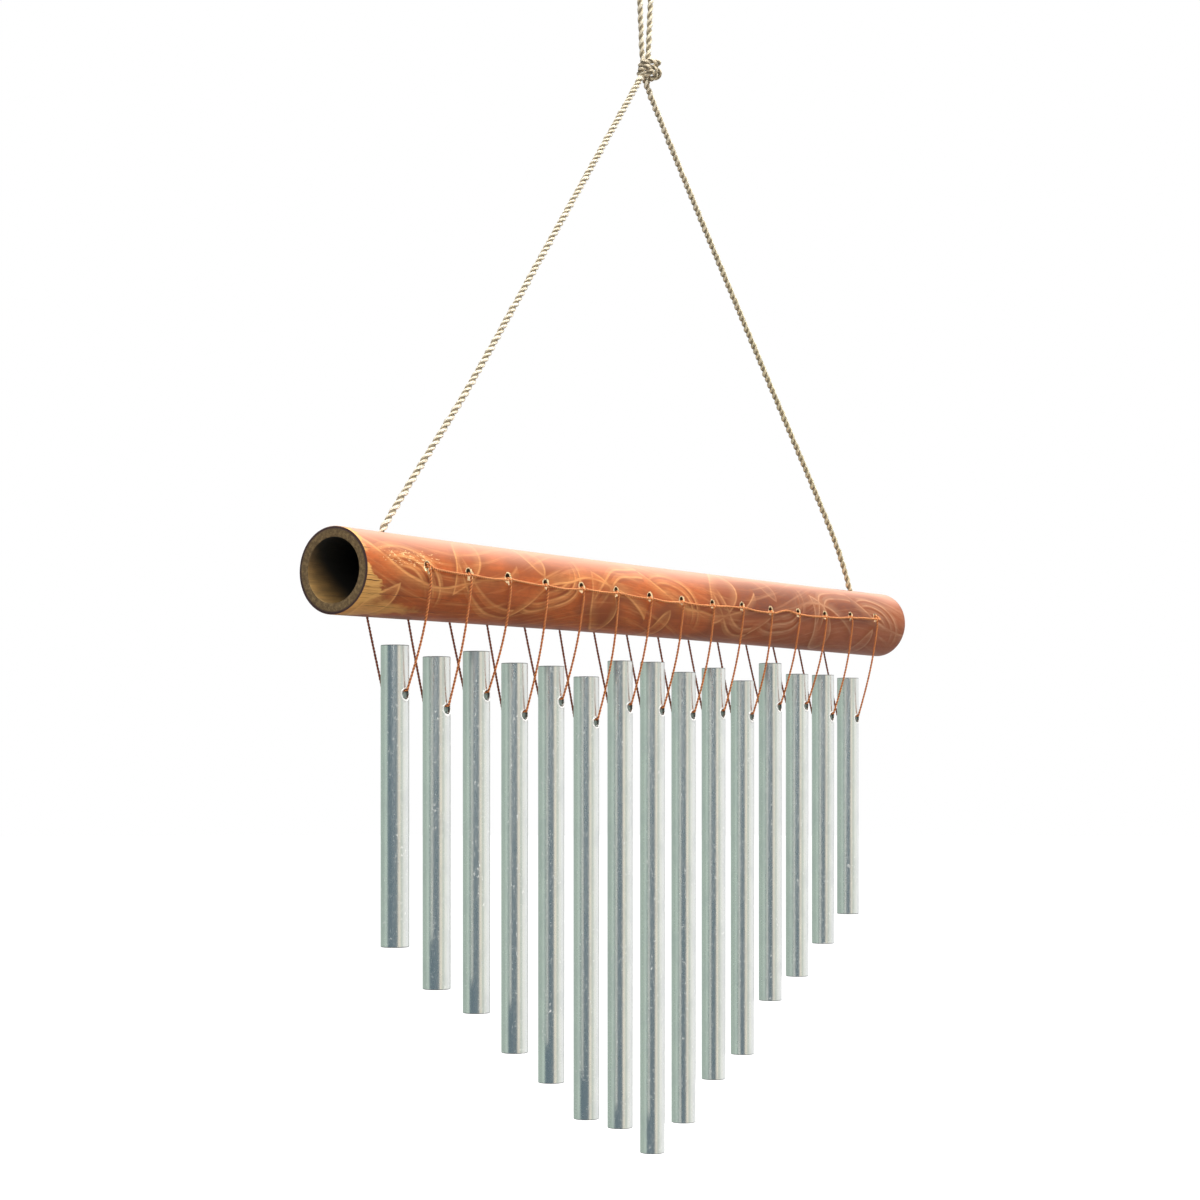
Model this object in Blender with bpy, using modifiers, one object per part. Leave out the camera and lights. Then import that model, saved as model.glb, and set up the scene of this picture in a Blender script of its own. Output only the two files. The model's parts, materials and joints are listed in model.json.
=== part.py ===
"""Bamboo wind chime: a hollow bamboo beam with fifteen aluminium tubes on thread loops, hung from a knotted cord.

Units are metres. +X runs along the beam, -Y is the front, where the threads are laced, and +Z is up.
The origin is the point where a hook bears on the inside of the hanging loop's top.
"""

import math

import bmesh
import bpy
from mathutils import Vector

# Fits
SEAT_GAP = 0.0003

# Chime tubes, numbered from the left end
TUBE_COUNT = 15
TUBE_RADIUS = 0.006
TUBE_WALL = 0.001
TUBE_PITCH = 0.0286
TUBE_LONGEST = 0.239
TUBE_LONGEST_NUMBER = 8
TUBE_STEP_LEFT = 0.016
TUBE_STEP_RIGHT = 0.0155
TUBE_HOLE_RADIUS = 0.002
# How far each tube's top hangs below the beam's centre line: the threads are tied by eye, so no two are alike.
TUBE_TOPS = (
    0.0290, 0.0328, 0.0294, 0.0336, 0.0340, 0.0380, 0.0296, 0.0292,
    0.0332, 0.0302, 0.0358, 0.0258, 0.0306, 0.0302, 0.0310,
)
# How far below its top each tube is drilled.
TUBE_HOLE_DEPTHS = (
    0.0204, 0.0224, 0.0192, 0.0230, 0.0162, 0.0212, 0.0220, 0.0234,
    0.0210, 0.0226, 0.0182, 0.0226, 0.0168, 0.0224, 0.0222,
)

# Bamboo beam
BEAM_END_LEFT = 0.0402
BEAM_END_RIGHT = 0.0354
BEAM_LENGTH = BEAM_END_LEFT + (TUBE_COUNT - 1) * TUBE_PITCH + BEAM_END_RIGHT
BEAM_RADIUS_LEFT = 0.01825
BEAM_RADIUS_RIGHT = 0.0176
BEAM_WAIST = 0.0008
BEAM_WALL = 0.0046
BEAM_HOLE_RADIUS = 0.0014
BEAM_HOLE_RISE = 0.001
# How far each thread hole strays from that height: they are drilled by eye.
BEAM_HOLE_DRIFTS = (
    0.0030, 0.0019, 0.0017, 0.0007, 0.0010, 0.0008, -0.0002, -0.0004,
    -0.0005, -0.0001, -0.0009, -0.0005, -0.0003, 0.0008, 0.0013,
)

# Hanging threads and the lacing along the front
THREAD_RADIUS = 0.00045
THREAD_BEND = THREAD_RADIUS + SEAT_GAP
LACING_DROP = 0.0008
LACING_FLAT = 0.0007
LACING_RUN = 0.0035
LACING_SAG = 0.0005
LACING_TAIL = 0.002

# Hanging cord
CORD_RADIUS = 0.00125
CORD_HOLE_RADIUS = 0.0018
CORD_INSET_LEFT = 0.0315
CORD_INSET_RIGHT = 0.0335
CORD_PIVOT_RISE = 0.0203
CORD_STEP = 0.009
STOPPER_RADIUS = 0.0035
KNOT_RADIUS = 0.006
KNOT_GROOVE = 0.0005
KNOT_TURNS = 3
KNOT_EXIT_LEFT = math.radians(40)
KNOT_EXIT_RIGHT = math.radians(18)
# Where each leg bows off the straight line, as (share of the way up, distance outwards from the beam's middle).
LEG_BOW_LEFT = ((0.08, -0.0016), (0.30, -0.0034), (0.60, -0.0020), (0.85, -0.0008))
LEG_BOW_RIGHT = ((0.08, 0.0024), (0.20, 0.0026), (0.50, 0.0003), (0.80, -0.0014))
LOOP_HALF_WIDTH = 0.005
LOOP_HALF_FOOT = 0.0029

# Heights and places, from the hook
BEAM_DROP = 0.299
KNOT_DROP = 0.041
HOOK_FROM_LEFT_END = 0.234

# Facets
BEAM_SIDES = 28
BEAM_STATIONS = 7
TUBE_SIDES = 20
HOLE_SIDES = 10
CORD_SIDES = 16
BEVEL_RESOLUTION = 2
MERGE = 0.00001

BAMBOO = ("stained_bamboo", (0.52, 0.22, 0.10), 0.45, 0.0)
ALUMINIUM = ("aluminium_tube", (0.74, 0.76, 0.74), 0.25, 1.0)
CORD = ("twisted_cord", (0.66, 0.56, 0.40), 0.85, 0.0)
THREAD = ("rust_thread", (0.62, 0.22, 0.08), 0.60, 0.0)


def clear_scene():
    """Empty the scene of whatever objects it starts with."""
    for obj in list(bpy.data.objects):
        bpy.data.objects.remove(obj, do_unlink=True)


def new_collection(name):
    """Add a collection to the scene."""
    collection = bpy.data.collections.new(name)
    bpy.context.scene.collection.children.link(collection)
    return collection


def new_material(name, colour, roughness, metallic):
    """Make a Principled material with one plain colour."""
    material = bpy.data.materials.new(name)
    material.use_nodes = True
    shader = material.node_tree.nodes["Principled BSDF"]
    shader.inputs["Base Color"].default_value = (*colour, 1.0)
    shader.inputs["Roughness"].default_value = roughness
    shader.inputs["Metallic"].default_value = metallic
    return material


def new_object(name, data, location, collection, finish):
    """Place an object and give it a material of its own."""
    obj = bpy.data.objects.new(name, data)
    obj.location = location
    collection.objects.link(obj)
    look, colour, roughness, metallic = finish
    data.materials.append(new_material(f"{look}_{name}", colour, roughness, metallic))
    return obj


def turned(name, profile, closed, sides, location, collection, finish):
    """Turn a profile of (radius, height) points about Z. Its outer side runs from top to bottom."""
    mesh = bpy.data.meshes.new(name)
    edges = [(i, i + 1) for i in range(len(profile) - 1)]
    if closed:
        edges.append((len(profile) - 1, 0))
    mesh.from_pydata([(radius, 0.0, height) for radius, height in profile], edges, [])
    obj = new_object(name, mesh, location, collection, finish)
    screw = obj.modifiers.new("turn", "SCREW")
    screw.axis = "Z"
    screw.steps = sides
    screw.render_steps = sides
    screw.use_merge_vertices = True
    screw.merge_threshold = MERGE
    screw.use_smooth_shade = True
    return obj


def swept(name, route, radius, closed, location, collection, finish):
    """Run a round cord of one radius along a route of points given from its own origin."""
    curve = bpy.data.curves.new(name, "CURVE")
    curve.dimensions = "3D"
    curve.bevel_depth = radius
    curve.bevel_resolution = BEVEL_RESOLUTION
    curve.use_fill_caps = True
    spline = curve.splines.new("POLY")
    spline.points.add(len(route) - 1)
    for point, place in zip(spline.points, route):
        point.co = (*place, 1.0)
    spline.use_cyclic_u = closed
    spline.use_smooth = True
    return new_object(name, curve, location, collection, finish)


def drill(name, bores, collection):
    """Make one cutter of several straight drills, each given as (centre, direction, radius, length)."""
    cutter_mesh = bmesh.new()
    for centre, direction, radius, length in bores:
        turn = direction.to_track_quat("Z", "Y").to_matrix().to_4x4()
        turn.translation = centre
        bmesh.ops.create_cone(
            cutter_mesh, cap_ends=True, segments=HOLE_SIDES,
            radius1=radius, radius2=radius, depth=length, matrix=turn,
        )
    mesh = bpy.data.meshes.new(name)
    cutter_mesh.to_mesh(mesh)
    cutter_mesh.free()
    cutter = bpy.data.objects.new(name, mesh)
    cutter.hide_render = True
    cutter.display_type = "WIRE"
    collection.objects.link(cutter)
    return cutter


def cut(obj, cutter):
    """Take a cutter's shape away from an object."""
    boolean = obj.modifiers.new(cutter.name, "BOOLEAN")
    boolean.operation = "DIFFERENCE"
    boolean.solver = "EXACT"
    boolean.object = cutter


def smooth_route(points, step):
    """Read points about one step apart from a smooth curve that passes through the given ones."""
    padded = [2 * points[0] - points[1], *points, 2 * points[-1] - points[-2]]
    route = []
    for before, start, end, after in zip(padded, padded[1:], padded[2:], padded[3:]):
        pieces = max(1, round((end - start).length / step))
        for piece in range(pieces):
            t = piece / pieces
            bend = 2 * before - 5 * start + 4 * end - after
            twist = 3 * (start - end) + after - before
            route.append(start + 0.5 * t * ((end - before) + t * (bend + t * twist)))
    return [*route, points[-1]]


def beam_radius(along):
    """Outer radius of the bamboo at a distance from its left end: a slight waist between fuller ends."""
    share = along / BEAM_LENGTH
    taper = BEAM_RADIUS_LEFT + (BEAM_RADIUS_RIGHT - BEAM_RADIUS_LEFT) * share
    return taper - BEAM_WAIST * 4 * share * (1 - share)


def tube_along(number):
    """Distance of a tube's hanging line from the beam's left end."""
    return BEAM_END_LEFT + (number - 1) * TUBE_PITCH


def beam_x(along):
    """World X of a distance from the beam's left end."""
    return along - HOOK_FROM_LEFT_END


def tube_length(number):
    """Length of a tube: they step down from the longest one to both ends."""
    steps = TUBE_LONGEST_NUMBER - number
    return TUBE_LONGEST - (steps * TUBE_STEP_LEFT if steps > 0 else -steps * TUBE_STEP_RIGHT)


def hole_rise(number):
    """Height of a thread hole's middle above the beam's centre line."""
    return BEAM_HOLE_RISE + BEAM_HOLE_DRIFTS[number - 1]


def thread_rise(number):
    """Height of a thread above the beam's centre line where it rests on the lower lip of its hole."""
    return hole_rise(number) - (BEAM_HOLE_RADIUS - THREAD_RADIUS - SEAT_GAP)


def lacing_line(number):
    """Height above the beam's centre line at which the lacing passes over a thread."""
    return thread_rise(number) - LACING_DROP


def tube_seat(number):
    """Depth below the beam's centre line at which a thread carries its tube by the upper lips of its holes."""
    hole = TUBE_TOPS[number - 1] + TUBE_HOLE_DEPTHS[number - 1]
    return hole - (TUBE_HOLE_RADIUS - THREAD_RADIUS - SEAT_GAP)


def arc(centre, radius, start, end, pieces):
    """Points of an arc in the YZ plane, as Vectors. Angles run from +Y towards +Z."""
    angles = [start + (end - start) * i / pieces for i in range(pieces + 1)]
    return [Vector((0.0, centre[0] + radius * math.cos(a), centre[1] + radius * math.sin(a))) for a in angles]


def thread_route(number):
    """One thread loop, from the beam's centre line: out of the front hole, round the bamboo, down, through the
    tube's two holes and up again to the back hole."""
    hug = beam_radius(tube_along(number)) + SEAT_GAP + THREAD_RADIUS
    level = thread_rise(number) - THREAD_BEND
    reach = math.sqrt(hug ** 2 - level ** 2)
    seat = tube_seat(number)
    side = TUBE_RADIUS + SEAT_GAP + THREAD_RADIUS
    depth = seat - THREAD_BEND
    lean = math.acos(hug / math.hypot(side, depth)) + math.atan2(side, depth)
    leave = math.pi / 2 - lean
    mouth = arc((THREAD_BEND - reach, level), THREAD_BEND, math.pi / 2, math.pi, 2)
    wrap = arc((0.0, 0.0), hug, math.pi - math.asin(level / hug), math.pi + leave, 2)[1:]
    foot = arc((-(side - THREAD_BEND), -depth), THREAD_BEND, math.pi + leave, 1.5 * math.pi, 2)
    front = [*mouth, *wrap, *foot]
    back = [Vector((0.0, -point.y, point.z)) for point in reversed(front)]
    return [*front, *back]


def make_beam(parts, cutters):
    """The bamboo: a turned tube with a slight waist, drilled for every thread and for both ends of the cord."""
    outer = []
    for station in range(BEAM_STATIONS):
        along = BEAM_LENGTH * (1 - station / (BEAM_STATIONS - 1))
        outer.append((beam_radius(along), along))
    bore = [(radius - BEAM_WALL, along) for radius, along in reversed(outer)]
    place = (beam_x(0.0), 0.0, -BEAM_DROP)
    beam = turned("bamboo_beam", outer + bore, True, BEAM_SIDES, place, parts, BAMBOO)
    beam.rotation_euler = (0.0, math.pi / 2, 0.0)
    widest = max(BEAM_RADIUS_LEFT, BEAM_RADIUS_RIGHT)
    across = Vector((0.0, 1.0, 0.0))
    bores = []
    for number in range(1, TUBE_COUNT + 1):
        centre = Vector((beam_x(tube_along(number)), 0.0, hole_rise(number) - BEAM_DROP))
        bores.append((centre, across, BEAM_HOLE_RADIUS, 3 * widest))
    for along in (CORD_INSET_LEFT, BEAM_LENGTH - CORD_INSET_RIGHT):
        centre = Vector((beam_x(along), 0.0, widest - BEAM_DROP))
        bores.append((centre, Vector((0.0, 0.0, 1.0)), CORD_HOLE_RADIUS, widest))
    cut(beam, drill("beam_drills", bores, cutters))


def make_tube(number, parts, cutters):
    """One chime tube, with its origin where its thread passes through it."""
    seat = tube_seat(number)
    top = seat - TUBE_TOPS[number - 1]
    foot = top - tube_length(number)
    bore = TUBE_RADIUS - TUBE_WALL
    profile = [(TUBE_RADIUS, top), (TUBE_RADIUS, foot), (bore, foot), (bore, top)]
    place = Vector((beam_x(tube_along(number)), 0.0, -BEAM_DROP - seat))
    tube = turned(f"chime_tube_{number:02d}", profile, True, TUBE_SIDES, place, parts, ALUMINIUM)
    hole = place + Vector((0.0, 0.0, top - TUBE_HOLE_DEPTHS[number - 1]))
    bores = [(hole, Vector((0.0, 1.0, 0.0)), TUBE_HOLE_RADIUS, 3 * TUBE_RADIUS)]
    cut(tube, drill(f"tube_drill_{number:02d}", bores, cutters))


def make_thread(number, parts):
    """One hanging thread, with its origin on the line through its two holes in the beam."""
    rise = Vector((0.0, 0.0, thread_rise(number)))
    route = [point - rise for point in thread_route(number)]
    place = (beam_x(tube_along(number)), 0.0, rise.z - BEAM_DROP)
    swept(f"hanging_thread_{number:02d}", route, THREAD_RADIUS, True, place, parts, THREAD)


def on_beam(along, lift, height):
    """A point on the front of the bamboo, from the middle of its left end."""
    reach = beam_radius(along) + lift
    return Vector((along, -math.sqrt(reach ** 2 - height ** 2), height))


def make_lacing(parts):
    """The thread laced along the front: it comes out of the first hole, passes over every strand and goes into
    the last hole."""
    lie = SEAT_GAP + THREAD_RADIUS
    over = lie + 2 * THREAD_RADIUS + SEAT_GAP
    ends = []
    for number, way in ((1, 1), (TUBE_COUNT, -1)):
        hole = tube_along(number)
        inside = -(beam_radius(hole) - BEAM_WALL - LACING_TAIL)
        upper = hole_rise(number) + BEAM_HOLE_RADIUS - THREAD_RADIUS - SEAT_GAP
        end = [
            Vector((hole, inside, upper)),
            on_beam(hole, -THREAD_BEND, upper),
            on_beam(hole, THREAD_RADIUS, upper),
            on_beam(hole + way * 2 * THREAD_RADIUS, over - SEAT_GAP, upper - THREAD_RADIUS / 4),
            on_beam(hole + way * LACING_RUN, lie, lacing_line(number)),
        ]
        ends.append(end if way > 0 else end[::-1])
    route = ends[0]
    for number in range(2, TUBE_COUNT + 1):
        hole = tube_along(number)
        line = lacing_line(number)
        between = (lacing_line(number - 1) + line) / 2 - LACING_SAG
        route.append(on_beam(hole - TUBE_PITCH / 2, lie, between))
        if number < TUBE_COUNT:
            route.append(on_beam(hole - LACING_RUN, lie, line))
            route.append(on_beam(hole - LACING_FLAT, over, line))
            route.append(on_beam(hole + LACING_FLAT, over, line))
            route.append(on_beam(hole + LACING_RUN, lie, line))
    route += ends[1]
    place = (beam_x(0.0), 0.0, -BEAM_DROP)
    swept("front_lacing", route, THREAD_RADIUS, False, place, parts, THREAD)


def make_cord_end(name, along, parts):
    """One end of the cord: a stub that stands out of the beam's top, and the stopper knot that holds it inside."""
    bore = beam_radius(along) - BEAM_WALL
    hang = math.sqrt((STOPPER_RADIUS + SEAT_GAP) ** 2 - CORD_HOLE_RADIUS ** 2)
    centre = math.sqrt(bore ** 2 - CORD_HOLE_RADIUS ** 2) - hang - CORD_PIVOT_RISE
    dome = [math.radians(90 * i / 4) for i in range(5)]
    profile = [(CORD_RADIUS * math.sin(a), CORD_RADIUS * (math.cos(a) - 1)) for a in dome]
    neck = math.asin(CORD_RADIUS / STOPPER_RADIUS)
    knot = [neck + (math.pi - neck) * i / 8 for i in range(9)]
    profile += [(STOPPER_RADIUS * math.sin(a), centre + STOPPER_RADIUS * math.cos(a)) for a in knot[:-1]]
    profile.append((0.0, centre - STOPPER_RADIUS))
    place = (beam_x(along), 0.0, CORD_PIVOT_RISE - BEAM_DROP)
    turned(name, profile, False, CORD_SIDES, place, parts, CORD)


def make_leg(name, along, exit_angle, bow, parts):
    """One slanting leg of the cord, from the beam's top to the knot, with its origin at the knot's middle."""
    side = math.copysign(1.0, beam_x(along))
    knot = Vector((0.0, 0.0, -KNOT_DROP))
    mouth = Vector((beam_x(along), 0.0, CORD_PIVOT_RISE - BEAM_DROP + SEAT_GAP)) - knot
    leave = Vector((side * math.sin(exit_angle), 0.0, -math.cos(exit_angle)))
    top = leave * (KNOT_RADIUS + SEAT_GAP)
    way = top - mouth
    outwards = Vector((side * way.z, 0.0, -side * way.x)).normalized()
    straight = [mouth, mouth + Vector((0.0, 0.0, 2 * CORD_RADIUS))]
    bowed = [mouth + share * way + distance * outwards for share, distance in bow]
    points = [*straight, *bowed, top + 3 * CORD_RADIUS * leave, top]
    swept(name, smooth_route(points, CORD_STEP), CORD_RADIUS, False, knot, parts, CORD)


def make_knot(parts):
    """The overhand knot as its outer shape: a round body with the grooves between its turns."""
    points = []
    steps = 8 * KNOT_TURNS
    for step in range(steps + 1):
        angle = math.pi * step / steps
        share = (angle / math.pi - 0.2) / 0.6
        wave = 0.5 - 0.5 * math.cos(2 * math.pi * KNOT_TURNS * share) if 0 < share < 1 else 0.0
        radius = KNOT_RADIUS - KNOT_GROOVE * wave
        points.append((radius * math.sin(angle) if 0 < step < steps else 0.0, radius * math.cos(angle)))
    turned("cord_knot", points, False, CORD_SIDES, (0.0, 0.0, -KNOT_DROP), parts, CORD)


def make_loop(parts):
    """The loop above the knot: two strands that spread upwards and meet in a round top."""
    foot_inside = LOOP_HALF_FOOT - CORD_RADIUS
    foot = math.sqrt(KNOT_RADIUS ** 2 - foot_inside ** 2) + SEAT_GAP - KNOT_DROP
    crown = CORD_RADIUS - LOOP_HALF_WIDTH
    strand = [
        Vector((-LOOP_HALF_FOOT, 0.0, foot)),
        Vector((-LOOP_HALF_FOOT, 0.0, foot + 3 * CORD_RADIUS)),
        Vector((-(LOOP_HALF_FOOT + LOOP_HALF_WIDTH) / 2, 0.0, (foot + crown) / 2)),
    ]
    angles = [math.pi * (1 - i / 8) for i in range(5)]
    top = [Vector((LOOP_HALF_WIDTH * math.cos(a), 0.0, crown + LOOP_HALF_WIDTH * math.sin(a))) for a in angles]
    half = [*strand, *top]
    points = half + [Vector((-point.x, 0.0, point.z)) for point in reversed(half[:-1])]
    swept("hanging_loop", smooth_route(points, 2 * CORD_RADIUS), CORD_RADIUS, False, (0.0, 0.0, 0.0), parts, CORD)


def main():
    """Build the whole chime."""
    clear_scene()
    parts = new_collection("bamboo_wind_chime")
    cutters = new_collection("cutters")
    make_beam(parts, cutters)
    make_lacing(parts)
    make_cord_end("cord_end_left", CORD_INSET_LEFT, parts)
    make_cord_end("cord_end_right", BEAM_LENGTH - CORD_INSET_RIGHT, parts)
    make_leg("cord_leg_left", CORD_INSET_LEFT, KNOT_EXIT_LEFT, LEG_BOW_LEFT, parts)
    make_leg("cord_leg_right", BEAM_LENGTH - CORD_INSET_RIGHT, KNOT_EXIT_RIGHT, LEG_BOW_RIGHT, parts)
    make_knot(parts)
    make_loop(parts)
    for number in range(1, TUBE_COUNT + 1):
        make_thread(number, parts)
        make_tube(number, parts, cutters)


main()
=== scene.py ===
"""Looks of the bamboo wind chime: stained bamboo, aluminium tubes, twisted threads and a knotted cord.
"""

import json
import logging
import math
from dataclasses import dataclass, replace
from enum import Enum
from functools import reduce
from typing import Any, Callable, Sequence

import bpy
import numpy as np
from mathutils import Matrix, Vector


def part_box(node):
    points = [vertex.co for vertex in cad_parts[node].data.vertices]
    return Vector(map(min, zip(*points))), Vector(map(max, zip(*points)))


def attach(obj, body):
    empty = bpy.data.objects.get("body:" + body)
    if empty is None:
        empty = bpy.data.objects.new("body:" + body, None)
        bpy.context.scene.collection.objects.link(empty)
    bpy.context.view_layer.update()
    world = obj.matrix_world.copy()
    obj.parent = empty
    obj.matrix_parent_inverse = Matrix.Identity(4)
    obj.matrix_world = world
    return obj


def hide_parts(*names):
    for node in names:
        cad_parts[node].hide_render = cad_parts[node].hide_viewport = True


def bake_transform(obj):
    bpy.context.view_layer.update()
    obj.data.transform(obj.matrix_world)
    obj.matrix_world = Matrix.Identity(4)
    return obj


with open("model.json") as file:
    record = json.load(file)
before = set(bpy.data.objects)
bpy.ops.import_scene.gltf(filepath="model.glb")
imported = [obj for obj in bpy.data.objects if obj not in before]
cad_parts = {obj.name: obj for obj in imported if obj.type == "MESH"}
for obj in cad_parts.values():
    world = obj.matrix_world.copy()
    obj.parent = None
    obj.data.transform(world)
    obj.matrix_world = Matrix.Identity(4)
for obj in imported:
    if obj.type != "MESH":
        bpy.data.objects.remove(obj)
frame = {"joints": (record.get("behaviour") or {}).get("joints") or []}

LOG = logging.getLogger("wind_chime")
PLY_LAYER = "ply"
MM = 0.001

# The gap between pieces that touch, and sizes that more than one sub-assembly works from.
SEAT_GAP = 0.3 * MM
THREAD_RADIUS = 0.45 * MM
TUBE_HOLE_RADIUS = 2.25 * MM
SHARP_EDGE = math.radians(60)

Point = tuple[float, float, float]
Colour = tuple[float, float, float]
Pair = tuple[float, float]
Piece = bpy.types.Object
Socket = bpy.types.NodeSocket


class Slot(Enum):
    """The part's material slots."""

    BAMBOO = "bamboo"
    ALUMINIUM = "aluminium"
    THREAD = "thread"
    CORD = "cord"


class FarEnd(Enum):
    """What the far end of a cord goes into: the chime itself, or the knot."""

    OBJECT = "object"
    KNOT = "knot"


class Face(Enum):
    """The front or the back of the chime, as the sign of Y."""

    FRONT = -1
    BACK = 1


class Side(Enum):
    """The end of the bamboo that a leg of the cord goes to."""

    LEFT = "left"
    RIGHT = "right"


class Shade:
    """One value in a node tree. Python's operators add the Math nodes of an expression."""

    def __init__(self, nodes: "Nodes", socket: Socket) -> None:
        """Keep the socket that carries the value and the tree it belongs to."""
        self.nodes = nodes
        self.socket = socket

    def __add__(self, other: "Shade | float") -> "Shade":
        """This plus another value."""
        return self.nodes.math("ADD", self, other)

    __radd__ = __add__

    def __sub__(self, other: "Shade | float") -> "Shade":
        """This minus another value."""
        return self.nodes.math("SUBTRACT", self, other)

    def __rsub__(self, other: float) -> "Shade":
        """A number minus this."""
        return self.nodes.math("SUBTRACT", other, self)

    def __mul__(self, other: "Shade | float") -> "Shade":
        """This times another value."""
        return self.nodes.math("MULTIPLY", self, other)

    __rmul__ = __mul__

    def __truediv__(self, other: "Shade | float") -> "Shade":
        """This divided by another value."""
        return self.nodes.math("DIVIDE", self, other)

    def __mod__(self, other: "Shade | float") -> "Shade":
        """What is left of this after whole steps of another value, never negative."""
        return self.nodes.math("FLOORED_MODULO", self, other)

    def __or__(self, other: "Shade | float") -> "Shade":
        """The larger of this and another value."""
        return self.nodes.math("MAXIMUM", self, other)

    def __abs__(self) -> "Shade":
        """This without its sign."""
        return self.nodes.math("ABSOLUTE", self)

    def root(self) -> "Shade":
        """The square root of this."""
        return self.nodes.math("SQRT", self)

    def smooth(self, low: float, high: float) -> "Shade":
        """Rise smoothly from 0 where this is low to 1 where it is high. Low may be the larger of the two."""
        node = self.nodes.add("ShaderNodeMapRange", {"interpolation_type": "SMOOTHSTEP"},
                              {"Value": self, "From Min": low, "From Max": high})
        return Shade(self.nodes, node.outputs["Result"])


class Nodes:
    """A material's or the world's node tree, written as expressions."""

    def __init__(self, tree: bpy.types.NodeTree) -> None:
        """Keep the tree that the nodes go into."""
        self.tree = tree

    def add(self, kind: str, settings: dict[str, Any] | None = None,
            inputs: dict[Any, Any] | None = None) -> bpy.types.Node:
        """Add any node.

        Args:
            kind: The node's type name.
            settings: Its properties, set first.
            inputs: Its sockets' values or links, by socket name or number.

        Returns:
            The new node.
        """
        node = self.tree.nodes.new(kind)
        for name, value in (settings or {}).items():
            setattr(node, name, value)
        for name, value in (inputs or {}).items():
            self.feed(node.inputs[name], value)
        return node

    def feed(self, socket: Socket, value: Any) -> None:
        """Link a socket to a value of the tree, or set it to a number or colour.

        Args:
            socket: The socket to feed.
            value: A shade, an output socket, a number or a colour.
        """
        if isinstance(value, Shade):
            value = value.socket
        if isinstance(value, Socket):
            self.tree.links.new(value, socket)
        elif socket.type == "RGBA":
            socket.default_value = (*value, 1.0)
        else:
            socket.default_value = value

    def math(self, operation: str, *values: Shade | float) -> Shade:
        """A Math node's result on one or two values."""
        node = self.add("ShaderNodeMath", {"operation": operation}, dict(enumerate(values)))
        return Shade(self, node.outputs[0])

    def vector(self, x: Shade | float, y: Shade | float, z: Shade | float) -> Socket:
        """Three values joined into a vector."""
        return self.add("ShaderNodeCombineXYZ", None, {"X": x, "Y": y, "Z": z}).outputs[0]

    def parts(self, vector: Socket) -> list[Shade]:
        """The three values of a vector."""
        return [Shade(self, part) for part in self.add("ShaderNodeSeparateXYZ", None, {0: vector}).outputs]

    def place(self) -> list[Shade]:
        """The three Object coordinates, in metres."""
        return self.parts(self.add("ShaderNodeTexCoord").outputs["Object"])

    def length_and_turn(self) -> list[Shade]:
        """A cord's own UV map: metres along it, and the turn about a ply, with the ply's number added."""
        return self.parts(self.add("ShaderNodeUVMap", {"uv_map": PLY_LAYER}).outputs[0])[:2]

    def noise(self, x: Shade | float, y: Shade | float, z: Shade | float, scale: float = 1.0,
              detail: float = 2.0, roughness: float = 0.5) -> Shade:
        """Smooth noise from 0 to 1 at three coordinates. A number for z picks a slice of it."""
        inputs = {"Vector": self.vector(x, y, z), "Scale": scale, "Detail": detail, "Roughness": roughness}
        return Shade(self, self.add("ShaderNodeTexNoise", None, inputs).outputs["Fac"])

    def cells(self, x: Shade | float, y: Shade | float, z: Shade | float, scale: float) -> Shade:
        """Distance to the nearest of many scattered points, in cells."""
        node = self.add("ShaderNodeTexVoronoi", None, {"Vector": self.vector(x, y, z), "Scale": scale})
        return Shade(self, node.outputs["Distance"])

    def mix(self, share: Shade | float, first: Any, second: Any) -> Socket:
        """Two colours mixed, with a share of the second one."""
        inputs = {0: share, 6: first, 7: second}
        return self.add("ShaderNodeMix", {"data_type": "RGBA"}, inputs).outputs[2]

    def coats(self, ground: Any, *coats: tuple[Shade | float, Any]) -> Socket:
        """Lay coats of colour over a ground, one after another.

        Args:
            ground: The first colour.
            *coats: Each coat's share and colour.

        Returns:
            The colour that shows.
        """
        for share, colour in coats:
            ground = self.mix(share, ground, colour)
        return ground

    def bump(self, height: Shade, strength: float, distance: float) -> Socket:
        """The surface normal that a height gives."""
        inputs = {"Height": height, "Strength": strength, "Distance": distance}
        return self.add("ShaderNodeBump", None, inputs).outputs[0]


@dataclass(frozen=True)
class Finish:
    """A surface finish. Each kind says what feeds the sockets of its Principled shader."""

    name: str

    def material(self) -> bpy.types.Material:
        """Build the finish's material, or find the one already built.

        Returns:
            The material.
        """
        material = bpy.data.materials.get(self.name)
        if material is None:
            material = bpy.data.materials.new(self.name)
            material.use_nodes = True
            nodes = Nodes(material.node_tree)
            shader = material.node_tree.nodes["Principled BSDF"]
            for socket, value in self.paint(nodes).items():
                nodes.feed(shader.inputs[socket], value)
        return material

    def paint(self, nodes: Nodes) -> dict[str, Any]:
        """What feeds the shader, by socket. Every kind of finish has its own."""
        raise NotImplementedError


@dataclass(frozen=True)
class Culm:
    """Where the bamboo lies, for finishes that follow its length and its round."""

    left_end: float
    axis_height: float
    radius: float

    def coordinates(self, nodes: Nodes) -> tuple[Shade, Shade, Shade]:
        """Places on the bamboo in millimetres. The back mirrors the front, so that nothing breaks at a seam.

        Args:
            nodes: The finish's node tree.

        Returns:
            The distance along it from its left end, the distance up round it from the middle of its front or
            back, and the distance from its axis.
        """
        x, y, z = nodes.place()
        rise = z - self.axis_height
        turn = nodes.math("ARCTAN2", rise, abs(y))
        out = (y * y + rise * rise).root()
        return (x - self.left_end) / MM, turn * (self.radius / MM), out / MM


@dataclass(frozen=True)
class Crack:
    """A split along the grain, in millimetres: how far round, its start and end, and half its width."""

    arc: float
    start: float
    end: float
    half_width: float


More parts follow.
